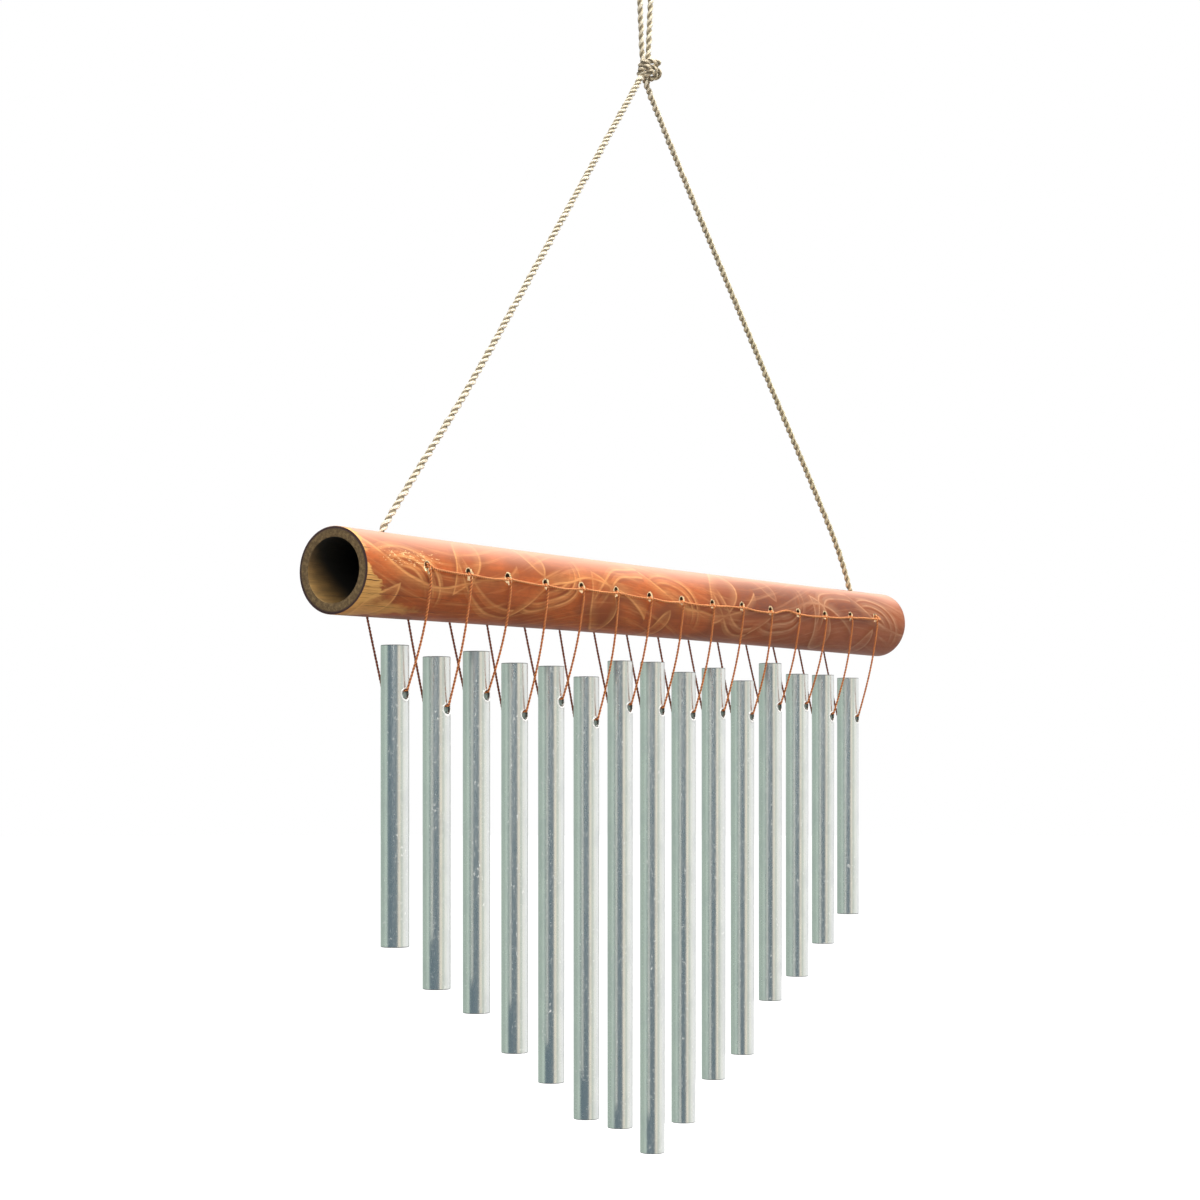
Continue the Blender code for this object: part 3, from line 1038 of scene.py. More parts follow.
@dataclass(frozen=True)
class Lay:
    """How a cord is made: plies twisted round each other, each a little uneven.

    The core and ply are shares of the diameter, and the ridge pitch is a share of the pitch. Each wobble says
    how far it turns in a pitch, and how far it shifts from one ply to the next.
    """

    diameter: float
    pitch: float
    plies: int = 2
    sides: int = 8
    steps: int = 12
    unevenness: float = 0.05
    wobbles: tuple[Pair, ...] = ((2.3, 2.1), (5.9, 1.0))
    ridges: int = 0
    ridge_depth: float = 0.0
    ridge_pitch: float = 1.0
    core: float = 0.205
    ply: float = 0.29
    ply_shares: Pair = (1.0, 1.0)
    tightening: float = 0.0

    @property
    def step(self) -> float:
        """The distance between two rings of a ply along the line, in metres."""
        return self.pitch / self.steps

    @staticmethod
    def _frames(line: np.ndarray) -> tuple[np.ndarray, np.ndarray]:
        """Carry two directions across a line along it without twisting.

        Args:
            line: The line's points, one row each.

        Returns:
            Both directions at each of the points.
        """
        ahead = np.gradient(line, axis=0)
        ahead /= np.linalg.norm(ahead, axis=1)[:, None]
        side = np.empty_like(line)
        last = np.eye(3)[np.argmin(np.abs(ahead[0]))]
        for index, way in enumerate(ahead):
            last = last - way * last.dot(way)
            last = last / np.linalg.norm(last)
            side[index] = last
        return side, np.cross(ahead, side)

    def _ply(self, line: np.ndarray, number: int) -> tuple[np.ndarray, np.ndarray]:
        """Lay one ply's rings round a line.

        Args:
            line: The line's points, one row each.
            number: The ply's number.

        Returns:
            The rings' points, and how far along the line each ring is.
        """
        side, up = self._frames(line)
        run = np.linspace(0.0, line_length(line), len(line))
        pitches = run / self.pitch
        turned = pitches * (1.0 + self.tightening * run / (2 * run[-1]))
        phase = 2 * math.pi * (turned + number / self.plies)
        out = np.cos(phase)[:, None] * side + np.sin(phase)[:, None] * up
        onward = -np.sin(phase)[:, None] * side + np.cos(phase)[:, None] * up
        reach = self.core * self.diameter
        stretch = 1.0 / math.cos(math.atan(2 * math.pi * reach / self.pitch))
        wobble = sum(np.sin(rate * pitches + shift * number) for rate, shift in self.wobbles)
        radius = self.ply * self.ply_shares[number] * self.diameter * (1.0 + self.unevenness * wobble)
        turns = np.arange(self.sides) * 2 * math.pi / self.sides
        twist = 2 * math.pi * pitches / self.ridge_pitch
        ridge = np.cos(self.ridges * turns[None, :] - twist[:, None])
        radius = radius[:, None] * (1.0 + self.ridge_depth * ridge)
        rings = (
            (line + reach * out)[:, None, :]
            + (radius * np.cos(turns))[:, :, None] * out[:, None, :]
            + stretch * (radius * np.sin(turns))[:, :, None] * onward[:, None, :]
        )
        return rings, run

    def _skin(self, base: int, run: np.ndarray, number: int) -> tuple[list[tuple], list[tuple]]:
        """List one ply's faces: bands between its rings, and a cap on each end.

        Args:
            base: The number of the ply's first point.
            run: How far along the line each ring is, in metres.
            number: The ply's number.

        Returns:
            The faces, and the UVs of their corners.
        """
        sides = self.sides
        faces, uvs = [], []
        for ring, (near, far) in enumerate(zip(run, run[1:])):
            low = base + ring * sides
            for side in range(sides):
                after = (side + 1) % sides
                left, right = number + side / sides, number + (side + 1) / sides
                faces.append((low + side, low + after, low + sides + after, low + sides + side))
                uvs += [(near, left), (near, right), (far, right), (far, left)]
        last = base + (len(run) - 1) * sides
        faces += [tuple(range(base + sides - 1, base - 1, -1)), tuple(range(last, last + sides))]
        uvs += [(run[0], number)] * sides + [(run[-1], number)] * sides
        return faces, uvs

    def build(self, name: str, lines: Sequence[np.ndarray], finish: Finish) -> Piece:
        """Lay plies along one or more lines, as one mesh.

        Args:
            name: The piece's name.
            lines: The centre lines, in metres.
            finish: The yarn's finish.

        Returns:
            The piece, at the origin, with its length and turn in a UV map.
        """
        points, faces, uvs = [], [], []
        for line in (even_line(line, self.step) for line in lines):
            for number in range(self.plies):
                rings, run = self._ply(line, number)
                ply_faces, ply_uvs = self._skin(len(points), run, number)
                points += rings.reshape(-1, 3).tolist()
                faces += ply_faces
                uvs += ply_uvs
        mesh = bpy.data.meshes.new(name)
        mesh.from_pydata(points, [], faces)
        layer = mesh.uv_layers.new(name=PLY_LAYER)
        layer.data.foreach_set("uv", np.array(uvs, np.float32).ravel())
        mesh.shade_smooth()
        mesh.materials.append(finish.material())
        return linked(name, mesh)


@dataclass(frozen=True)
class Layout:
    """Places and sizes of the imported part, read once from its nodes and joints."""

    joints: dict[str, Point]
    beam_low: Point
    beam_high: Point

    @classmethod
    def read(cls) -> "Layout":
        """Read the joints' places and the beam's box from the frame.

        Returns:
            The layout.
        """
        joints = {joint["name"]: tuple(joint["pos_m"]) for joint in frame["joints"]}
        low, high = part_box("bamboo_beam")
        return cls(joints, tuple(low), tuple(high))

    @property
    def numbers(self) -> list[str]:
        """The tubes' numbers, from the left, as nodes, bodies and joints write them."""
        return sorted(name.removeprefix("rock_") for name in self.joints if name.startswith("rock_"))

    @property
    def axis_height(self) -> float:
        """Height of the beam's centre line."""
        return (self.beam_low[2] + self.beam_high[2]) / 2

    @property
    def knot(self) -> Point:
        """The middle of the knot."""
        return self.joints["cord_turn"]

    @property
    def cord_mouth(self) -> float:
        """Height at which the legs go into the bamboo."""
        return self.joints["beam_roll"][2]

    @property
    def mouths(self) -> list[Pair]:
        """Where every thread leaves the beam, from the left: X, and the height above the beam's axis."""
        swings = [self.joints[f"swing_{number}"] for number in self.numbers]
        return [(x, height - self.axis_height) for x, _, height in swings]


@dataclass
class BambooBeam:
    """The hollow bamboo, drilled for the threads and the cord, with the skin chipped round every hole."""

    layout: Layout
    radius_left: float = 18.25 * MM
    radius_right: float = 17.6 * MM
    waist: float = 0.8 * MM
    oval: float = 0.10 * MM
    oval_wave: float = 90.0 * MM
    lobes: float = 0.07 * MM
    lobe_wave: float = 61.0 * MM
    lobe_turn: float = 1.0
    skin_inset: float = 0.12 * MM
    wall: float = 4.6 * MM
    rim_bevel: float = 0.35 * MM
    hole_radius: float = 1.55 * MM
    hole_lift: float = 0.65 * MM
    hole_sides: int = 24
    chip_radius: float = 2.7 * MM
    chip_depth: float = 0.45 * MM
    chip_flare: Pair = (1.25, 0.75)
    chip_ragged: Pair = (0.72, 1.22)
    chip_drop: float = 1.15
    chip_sides: int = 17
    chip_seed: int = 7
    cord_hole_radius: float = 1.8 * MM
    cord_insets: Pair = (31.5 * MM, 33.5 * MM)
    sides: int = 144
    stations: int = 96
    smooth_angle: float = math.radians(35)

    @property
    def left(self) -> float:
        """X of the left sawn end."""
        return self.layout.beam_low[0]

    @property
    def right(self) -> float:
        """X of the right sawn end."""
        return self.layout.beam_high[0]

    @property
    def cord_places(self) -> Pair:
        """X of the two holes in the top wall for the cord."""
        return self.left + self.cord_insets[0], self.right - self.cord_insets[1]

    @property
    def hole_places(self) -> list[Pair]:
        """X and Z of every thread hole's middle, from the left. Each thread rests on the lower lip."""
        lift = self.layout.axis_height + self.hole_lift
        return [(x, rise + lift) for x, rise in self.layout.mouths]

    def radius(self, x: float | np.ndarray) -> float | np.ndarray:
        """Work out the outer radius along the beam.

        Args:
            x: One place along the beam, or many.

        Returns:
            The radius there.
        """
        share = (x - self.left) / (self.right - self.left)
        taper = self.radius_left + (self.radius_right - self.radius_left) * share
        return taper - self.waist * 4 * share * (1 - share)

    def _tube(self) -> Piece:
        """Model the bamboo's skin before it is thickened: a cylinder cut into stations, waisted and uneven.

        Returns:
            The skin.
        """
        length = self.right - self.left
        axis_height = self.layout.axis_height
        beam = added(bpy.ops.mesh.primitive_cylinder_add, vertices=self.sides, radius=self.radius_left,
                     depth=length, end_fill_type="NOTHING", rotation=(0.0, math.pi / 2, 0.0),
                     location=((self.left + self.right) / 2, 0.0, axis_height))
        bpy.ops.object.mode_set(mode="EDIT")
        bpy.ops.mesh.select_mode(type="EDGE")
        bpy.ops.mesh.select_all(action="DESELECT")
        bpy.ops.object.mode_set(mode="OBJECT")
        for edge in beam.data.edges:
            one, two = (beam.data.vertices[index].co for index in edge.vertices)
            edge.select = abs(one.x - two.x) > length / 2
        bpy.ops.object.mode_set(mode="EDIT")
        bpy.ops.mesh.subdivide(number_cuts=self.stations)
        bpy.ops.mesh.select_mode(type="VERT")
        bpy.ops.object.mode_set(mode="OBJECT")
        places = corners(beam)
        along = places[:, 0] - self.left
        angle = np.arctan2(places[:, 2] - axis_height, -places[:, 1])
        reach = self.radius(places[:, 0]) - self.skin_inset
        reach += self.oval * np.sin(2 * angle + along / self.oval_wave)
        reach += self.lobes * np.sin(3 * angle - along / self.lobe_wave + self.lobe_turn)
        places[:, 1] = -reach * np.cos(angle)
        places[:, 2] = axis_height + reach * np.sin(angle)
        set_corners(beam, places)
        return beam

    def _drills(self) -> Piece:
        """Model what is drilled out: thread holes from front to back, and the cord's two in the top wall.

        Returns:
            The drills, as one object.
        """
        top = self.layout.axis_height + self.radius_left
        drill = bpy.ops.mesh.primitive_cylinder_add
        threads = [added(drill, vertices=self.hole_sides, radius=self.hole_radius,
                         depth=4 * self.radius_left, location=(x, 0.0, z), rotation=(math.pi / 2, 0.0, 0.0))
                   for x, z in self.hole_places]
        cords = [added(drill, vertices=self.hole_sides, radius=self.cord_hole_radius,
                       depth=2 * self.radius_left, location=(x, 0.0, top))
                 for x in self.cord_places]
        return joined(threads + cords)

    def _chip(self, x: float, face: Face, height: float, chance: np.random.Generator) -> Piece:
        """Model one ragged shallow chip round a thread hole, longer below it where the strand rubs.

        Args:
            x: The hole's place along the beam.
            face: The front or the back.
            height: The hole's height.
            chance: Where the raggedness comes from.

        Returns:
            The chip, to be cut out.
        """
        surface = face.value * math.sqrt(self.radius(x) ** 2 - (height - self.layout.axis_height) ** 2)
        wide, narrow = (self.chip_radius * share for share in self.chip_flare)
        chip = added(bpy.ops.mesh.primitive_cone_add, vertices=self.chip_sides, radius1=wide,
                     radius2=narrow, depth=2 * self.chip_depth, location=(x, surface, height),
                     rotation=(face.value * math.pi / 2, 0.0, 0.0))
        middle = np.array([x, surface, height])
        offset = corners(chip) - middle
        offset[:, [0, 2]] *= chance.uniform(*self.chip_ragged, (len(offset), 1))
        offset[:, 2] *= np.where(offset[:, 2] < 0, self.chip_drop, 1.0)
        set_corners(chip, offset + middle)
        return chip

    def _chips(self) -> Piece:
        """The chips round every thread hole, front and back, to be cut out."""
        chance = np.random.default_rng(self.chip_seed)
        return joined([self._chip(x, face, z, chance) for x, z in self.hole_places for face in Face])

    def build(self) -> None:
        """Model the beam, dress it and let it stand for its solid."""
        culm = Culm(self.left, self.layout.axis_height, self.radius_left)
        skin = StainedSkin("stained_skin", culm)
        bore = BoreWall("bore_wall", culm)
        rim = SawnRim("sawn_rim", culm)
        beam = self._tube()
        for finish in (skin, bore, rim):
            beam.data.materials.append(finish.material())
        apply_modifier(beam, "SOLIDIFY", thickness=self.wall, offset=-1.0, use_rim=True,
                       material_offset=1, material_offset_rim=2)
        apply_modifier(beam, "BEVEL", width=self.rim_bevel, segments=2, limit_method="ANGLE",
                       angle_limit=SHARP_EDGE)
        for cutter, finish in ((self._drills(), SHADED_DRILLED_WALL), (self._chips(), CHIPPED_SKIN)):
            cutter.data.materials.append(finish.material())
            cut(beam, cutter, solver="MANIFOLD", material_mode="TRANSFER")
        smooth_by_angle(beam, self.smooth_angle)
        beam.name = "dressed_bamboo_beam"
        stand_in(beam, "bamboo_beam", "beam")


@dataclass
class ChimeTubes:
    """The row of aluminium tubes: one drilled tube, modelled once, copied and drawn out to each length."""

    layout: Layout
    finish: Finish = TUBE_METAL
    rim_finish: Finish = RIM_METAL
    burr_finish: Finish = BURR_METAL
    wall: float = 1.0 * MM
    reach: float = 15.0 * MM
    near: float = 5.0 * MM
    rim_bevel: float = 0.32 * MM
    drill_sides: int = 40
    burr_width: float = 0.75 * MM
    burr_height: float = 0.18 * MM
    burr_segments: tuple[int, int] = (48, 10)
    burr_waves: tuple[tuple[int, float, float], ...] = ((1, 0.30, 2.4), (3, 0.22, 0.6), (7, 0.16, 1.9))
    sides: int = 64
    smooth_angle: float = math.radians(12)

    def _burr(self, radius: float, face: Face) -> Piece:
        """Model the low ring of metal that the drill raised round the hole, bent to the tube's round.

        Args:
            radius: The tube's radius.
            face: The front or the back.

        Returns:
            The burr, for a hole at the origin.
        """
        half = self.burr_width / 2
        major, minor = self.burr_segments
        burr = added(bpy.ops.mesh.primitive_torus_add, major_segments=major, minor_segments=minor,
                     major_radius=TUBE_HOLE_RADIUS + half, minor_radius=half,
                     rotation=(math.pi / 2, 0.0, 0.0))
        places = corners(burr)
        turn = np.arctan2(places[:, 2], places[:, 0])
        ragged = 1.0 + sum(depth * np.sin(count * turn + phase) for count, depth, phase in self.burr_waves)
        reach = np.hypot(places[:, 0], places[:, 2])
        grown = TUBE_HOLE_RADIUS + (reach - TUBE_HOLE_RADIUS) * ragged
        places[:, [0, 2]] *= (grown / reach)[:, None]
        lift = places[:, 1] * ragged * (self.burr_height / half)
        places[:, 1] = face.value * np.sqrt(radius ** 2 - places[:, 0] ** 2) + lift
        set_corners(burr, places)
        burr.data.materials.append(self.burr_finish.material())
        return burr

    def _pattern(self, radius: float) -> Piece:
        """Model a short drilled tube with its rims eased and a burr round each side of its hole.

        Args:
            radius: The tube's radius.

        Returns:
            The tube, with its hole at the origin.
        """
        tube = added(bpy.ops.mesh.primitive_cylinder_add, vertices=self.sides, radius=radius,
                     depth=2 * self.reach, end_fill_type="NOTHING")
        edge = self.reach - 3 * self.rim_bevel
        bpy.ops.object.mode_set(mode="EDIT")
        for height in (-edge, -self.near, self.near, edge):
            bpy.ops.mesh.select_all(action="SELECT")
            bpy.ops.mesh.bisect(plane_co=(0.0, 0.0, height), plane_no=(0.0, 0.0, 1.0))
        bpy.ops.object.mode_set(mode="OBJECT")
        for finish in (self.finish, self.rim_finish, self.burr_finish):
            tube.data.materials.append(finish.material())
        apply_modifier(tube, "SOLIDIFY", thickness=self.wall, offset=-1.0, use_rim=True,
                       material_offset_rim=1)
        apply_modifier(tube, "BEVEL", width=self.rim_bevel, segments=3, limit_method="ANGLE",
                       angle_limit=SHARP_EDGE, material=1)
        drill = added(bpy.ops.mesh.primitive_cylinder_add, vertices=self.drill_sides,
                      radius=TUBE_HOLE_RADIUS, depth=4 * radius, rotation=(math.pi / 2, 0.0, 0.0))
        cut(tube, drill, solver="EXACT")
        tube = joined([tube, *(self._burr(radius, face) for face in Face)])
        smooth_by_angle(tube, self.smooth_angle)
        return tube

    def build(self) -> None:
        """Model the tubes and let each stand for its solid."""
        low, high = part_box("chime_tube_01")
        pattern = self._pattern((high.x - low.x) / 2)
        for number in self.layout.numbers:
            node = f"chime_tube_{number}"
            low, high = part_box(node)
            x, _, seat = self.layout.joints[f"rock_{number}"]
            hole = seat - (TUBE_HOLE_RADIUS - THREAD_RADIUS - SEAT_GAP)
            tube = linked(f"dressed_tube_{number}", pattern.data.copy())
            places = corners(tube)
            height = places[:, 2].copy()
            places[:, 2] += np.where(height > self.near + MM, high.z - hole - self.reach, 0.0)
            places[:, 2] += np.where(height < -self.near - MM, low.z - hole + self.reach, 0.0)
            set_corners(tube, places + np.array([x, 0.0, hole]))
            stand_in(tube, node, f"tube_{number}")
        bpy.data.objects.remove(pattern)


@dataclass
class Threads:
    """The rust-orange thread: a loop for every tube and the lacing along the bamboo's front."""

    layout: Layout
    beam: BambooBeam
    finish: Finish = THREAD_YARN
    lit_lacing_finish: Finish = LIT_LACING_YARN
    lay: Lay = Lay(1.12 * MM, 3.0 * MM, sides=10, steps=12)
    tube_radius: float = 6.0 * MM
    bend: float = THREAD_RADIUS + SEAT_GAP
    arc_pieces: int = 4
    slack: float = 1.3 * MM
    back_slack: float = 0.4 * MM
    drift: float = 0.5
    drift_spread: float = 0.35
    drift_turn: float = 2.4
    lacing_drop: float = 0.8 * MM
    lacing_run: float = 3.5 * MM
    lacing_flat: float = 0.7 * MM
    lacing_tail: float = 2.0 * MM
    lacing_sags: tuple[float, ...] = (0.2, 0.5, 0.1, 0.6, 0.3, 0.2, 0.5, 0.3, -0.3, 0.4, -1.6, 0.2, 0.3,
                                      -0.2)
    path_stride: int = 5

    def _arc(self, centre: Pair, radius: float, start: float, end: float) -> list[Point]:
        """Points of an arc across the beam. Angles run from +Y towards +Z."""
        angles = np.linspace(start, end, self.arc_pieces + 1).tolist()
        return [(0.0, centre[0] + radius * math.cos(a), centre[1] + radius * math.sin(a)) for a in angles]

    def _loop(self, number: str) -> np.ndarray:
        """Lay out the centre line of one hanging thread.

        It comes out of the front hole, lies round the bamboo, hangs down, goes through the tube's holes and
        up to the back hole. Each strand stands off a little and drifts to the side, some more than others.

        Args:
            number: The tube's number.

        Returns:
            The line's points, one row each.
        """
        axis_height = self.layout.axis_height
        x, _, mouth = self.layout.joints[f"swing_{number}"]
        rise = mouth - axis_height
        depth = axis_height - self.layout.joints[f"rock_{number}"][2] - self.bend
        hug = self.beam.radius(x) + SEAT_GAP + THREAD_RADIUS
        side = self.tube_radius + SEAT_GAP + THREAD_RADIUS
        leave = math.pi / 2 - math.acos(hug / math.hypot(side, depth)) - math.atan2(side, depth)
        level = rise - self.bend
        reach = math.sqrt(hug ** 2 - level ** 2)
        front = [(0.0, 0.0, rise), (0.0, -hug / 2, rise)]
        front += self._arc((self.bend - reach, level), self.bend, math.pi / 2, math.pi)
        front += self._arc((0.0, 0.0), hug, math.pi - math.asin(level / hug), math.pi + leave)[1:]
        front += self._arc((self.bend - side, -depth), self.bend, math.pi + leave, 1.5 * math.pi)
        back = [(0.0, -y, z) for _, y, z in reversed(front[1:])]
        end = (0.0, 2 * THREAD_RADIUS, rise)
        line = even_line(np.array([*front, *back, end]), self.lay.step)
        share = np.clip((level - line[:, 2]) / (level + depth), 0.0, 1.0)
        stand_off = np.where(line[:, 1] < 0.0, self.slack, self.back_slack) * np.sin(math.pi * share)
        line[:, 1] += np.sign(line[:, 1]) * stand_off
        line[:, 0] += stand_off * (self.drift + self.drift_spread * math.sin(self.drift_turn * int(number)))
        return line + np.array([x, 0.0, axis_height])

    def _on_front(self, x: float, lift: float, height: float) -> Point:
        """A point on the front of the bamboo, lifted off it, at a height above its axis."""
        reach = self.beam.radius(x) + lift
        return x, -math.sqrt(reach ** 2 - height ** 2), self.layout.axis_height + height

    def _lacing_line(self) -> np.ndarray:
        """Lay out the lacing's centre line: out of the first hole, over each strand, into the last hole.

        Returns:
            The line's points, one row each.
        """
        holes = [x for x, _ in self.layout.mouths]
        heights = [rise - self.lacing_drop for _, rise in self.layout.mouths]
        lie = SEAT_GAP + THREAD_RADIUS
        over = lie + 2 * THREAD_RADIUS + SEAT_GAP
        upper = self.lacing_drop + 2 * self.beam.hole_lift
        inside = self.lacing_tail + self.beam.wall
        first, last = holes[0], holes[-1]
        start, end = heights[0], heights[-1]
        route = [(first, -inside, start + upper),
                 (first + 0.4 * MM, -self.bend, start + upper),
                 (first + 1.3 * MM, lie, start + upper - MM),
                 (first + self.lacing_run, lie, start)]
        for number, (hole, height, sag) in enumerate(zip(holes[1:], heights[1:], self.lacing_sags)):
            middle = (holes[number] + hole) / 2
            route.append((middle, lie, (heights[number] + height) / 2 - sag * MM))
            if hole != last:
                route += [(hole - self.lacing_run, lie, height - 0.3 * sag * MM),
                          (hole - self.lacing_flat, over, height),
                          (hole + self.lacing_flat, over, height),
                          (hole + self.lacing_run, lie, height)]
        route += [(last - self.lacing_run, lie, end),
                  (last - self.lacing_flat, over, end - 0.1 * MM),
                  (last + self.lacing_flat, over, end + 0.2 * MM),
                  (last + 1.2 * MM, lie, end + 1.2 * MM),
                  (last + 0.5 * MM, -self.bend, end + upper),
                  (last, -inside, end + upper)]
        return smooth_line([self._on_front(*place) for place in route], self.lay.step)

    def build(self) -> None:
        for number in self.layout.numbers:
            line = self._loop(number)
            thread = self.lay.build(f"twisted_thread_{number}", [line], self.finish)
            stand_in(thread, f"hanging_thread_{number}", f"thread_{number}")
            x, _, height = self.layout.joints[f"swing_{number}"]
            mouth = (x, -self.beam.radius(x), height)
        line = self._lacing_line()
        lacing = self.lay.build("twisted_lacing", [line], self.lit_lacing_finish)
        stand_in(lacing, "front_lacing", "beam")


@dataclass(frozen=True)
class Leg:
    """One leg of the cord: the angle at which it leaves the knot, and how far it bows outwards on its way.

    The bow is a list of shares of the way up from the bamboo, each with a distance in millimetres.
    """

    side: Side
    exit_angle: float
    bow: tuple[Pair, ...]


CORD_LAY = Lay(3.10 * MM, 8.6 * MM, sides=24, steps=24, unevenness=0.07, ridges=6, ridge_depth=0.06)


@dataclass
class HangingCord:
    """The two-ply cord: two legs, their knot, the loop above it and the stopper knots in the bamboo.

    Points on the knot's turns are millimetres to the right, to the viewer and up from its middle. The knot is
    shifted by millimetres to the right, and front is the way from it to the viewer, in X and Y.
    """

    layout: Layout
    beam: BambooBeam
    finish: Finish = CORD_YARN
    shaded_knot_finish: Finish = SHADED_KNOT_YARN
    radius: float = 1.25 * MM
    lay: Lay = replace(CORD_LAY, ply_shares=(1.07, 0.90), tightening=0.45)
    loop_lay: Lay = replace(CORD_LAY, diameter=2.95 * MM, pitch=8.2 * MM)
    knot_lay: Lay = replace(CORD_LAY, diameter=2.58 * MM, pitch=6.8 * MM, steps=20)
    legs: tuple[Leg, ...] = (
        Leg(Side.LEFT, math.radians(40), ((0.08, -1.6), (0.30, -3.4), (0.60, -2.0), (0.85, -0.8))),
        Leg(Side.RIGHT, math.radians(18), ((0.08, 2.4), (0.20, 2.6), (0.50, 0.3), (0.80, -1.4))),
    )
    leg_foot: float = 2.5 * MM
    leg_lead: float = 3.75 * MM
    leg_end: float = 1.5 * MM
    leg_blend: Pair = (6.0 * MM, -2.0 * MM)
    loop_half_width: float = 5.0 * MM
    loop_half_foot: float = 2.9 * MM
    loop_half_end: float = 1.595 * MM
    loop_crown_steps: int = 4
    loop_foot: float = 2.5 * MM
    loop_foot_rise: float = 6.0 * MM
    loop_middle_rise: float = 3.0 * MM
    loop_blend: Pair = (22.0 * MM, -1.0 * MM)
    knot_radius: float = 6.0 * MM
    knot_shift: float = 1.6
    knot_upper: tuple[Point, ...] = (
        (-1.2, -0.8, -3.2), (0.8, -2.6, -0.6), (3.4, -2.2, 2.6), (5.0, 0.2, 3.6), (3.4, 2.7, 3.2),
        (0.2, 3.6, 3.4), (-3.0, 2.6, 2.6), (-4.1, -0.2, 1.6), (-2.6, -2.8, 1.8), (0.2, -1.6, 3.2),
    )
    knot_lower: tuple[Point, ...] = (
        (0.4, 0.2, -4.2), (2.4, -2.0, -3.6), (4.9, -0.8, -2.6), (5.2, 1.6, -1.6), (3.0, 3.2, 0.0),
        (-0.4, 3.9, 0.6), (-3.7, 2.8, -0.4), (-4.5, -0.2, -1.8), (-2.6, -3.0, -2.0), (-0.4, -1.2, 0.4),
    )
    knot_cross: tuple[Point, ...] = (
        (-2.2, 1.0, -3.4), (-0.4, 3.2, -2.8), (1.6, 3.9, -1.6), (3.2, 2.2, -3.4), (1.4, 0.4, -4.6),
    )
    knot_heart: tuple[Point, ...] = (
        (-2.4, -0.4, -4.6), (-1.0, 0.6, -1.8), (1.4, 0.2, 0.2), (0.4, -0.8, 2.2), (-1.4, 0.4, 4.4),
    )
    front: Pair = (-0.829, -0.559)
    stopper_radius: float = 2.2 * MM
    stopper_depth: float = 8.8 * MM
    stopper_turns: float = 2.4
    stopper_rise: float = 1.2 * MM
    stopper_height: float = 3.6 * MM
    stopper_steps: int = 24
    stopper_tail: tuple[Point, ...] = ((0.6 * MM, 0.0, -2.0 * MM), (1.6 * MM, 0.8 * MM, -4.4 * MM))
    path_stride: int = 4

    def _from_knot(self, across: float, towards: float, up: float) -> Point:
        """Find a place from the knot's middle, as the front view shows it.

        Args:
            across: Millimetres to the right.
            towards: Millimetres towards the viewer.
            up: Millimetres up.

        Returns:
            The place, in metres.
        """
        x, y, z = self.layout.knot
        front_x, front_y = self.front
        across += self.knot_shift
        return (x + (towards * front_x - across * front_y) * MM,
                y + (towards * front_y + across * front_x) * MM, z + up * MM)

    def _leg_line(self, leg: Leg, x: float) -> np.ndarray:
        """Lay out a leg's centre line, from its stopper, through the bamboo's top wall, to inside the knot.

        Args:
            leg: The leg.
            x: Where it goes into the bamboo.

        Returns:
            The line's points, one row each.
        """
        side = math.copysign(1.0, x)
        knot = np.array(self.layout.knot)
        mouth = np.array([x, 0.0, self.layout.cord_mouth + SEAT_GAP])
        leave = np.array([side * math.sin(leg.exit_angle), 0.0, -math.cos(leg.exit_angle)])
        top = knot + leave * (self.knot_radius + SEAT_GAP)
        way = top - mouth
        outwards = np.array([side * way[2], 0.0, -side * way[0]]) / np.linalg.norm(way)
        route = [mouth - np.array([0.0, 0.0, down]) for down in (self.stopper_depth, self.leg_foot)]
        route += [mouth + share * way + distance * MM * outwards for share, distance in leg.bow]
        route += [top + self.leg_lead * leave, top, knot + self.leg_end * leave]
        return smooth_line(route, self.lay.step)

    def _loop_line(self) -> np.ndarray:
        """Lay out the loop's centre line, from inside the knot, over the hook's place and back.

        Returns:
            The line's points, one row each.
        """
        wide, narrow = self.loop_half_width, self.loop_half_foot
        crown = self.radius - wide
        foot = self.layout.knot[2] + self.loop_foot
        half = [
            (-self.loop_half_end, 0.0, foot),
            (-narrow, 0.0, foot + self.loop_foot_rise),
            (-(narrow + wide) / 2, 0.0, (foot + crown) / 2 + self.loop_middle_rise),
        ]
        angles = np.linspace(math.pi, math.pi / 2, self.loop_crown_steps + 1).tolist()
        half += [(wide * math.cos(angle), 0.0, crown + wide * math.sin(angle)) for angle in angles]
        route = half + [(-x, y, z) for x, y, z in reversed(half[:-1])]
        return smooth_line(route, self.loop_lay.step)

    def _knot_lines(self) -> list[np.ndarray]:
        """The centre lines of the knot's turns: strands bulge to the right, cross the front and go round."""
        turns = (self.knot_upper, self.knot_lower, self.knot_cross, self.knot_heart)
        return [smooth_line([self._from_knot(*point) for point in turn], self.knot_lay.step)
                for turn in turns]

    def _stopper_line(self, x: float) -> np.ndarray:
        """Lay out the turns of a stopper knot inside the bamboo, with a short tail.

        Args:
            x: Where the leg goes into the bamboo.

        Returns:
            The line's points, one row each.
        """
        top = self.layout.cord_mouth + SEAT_GAP - self.stopper_depth + self.stopper_rise
        route = []
        for share in np.linspace(0.0, 1.0, self.stopper_steps + 1).tolist():
            turn = share * self.stopper_turns * 2 * math.pi
            route.append((x + self.stopper_radius * math.cos(turn), self.stopper_radius * math.sin(turn),
                          top - self.stopper_height * share))
        end = np.array(route[-1])
        return smooth_line([*route, *(end + np.array(offset) for offset in self.stopper_tail)],
                           self.knot_lay.step)

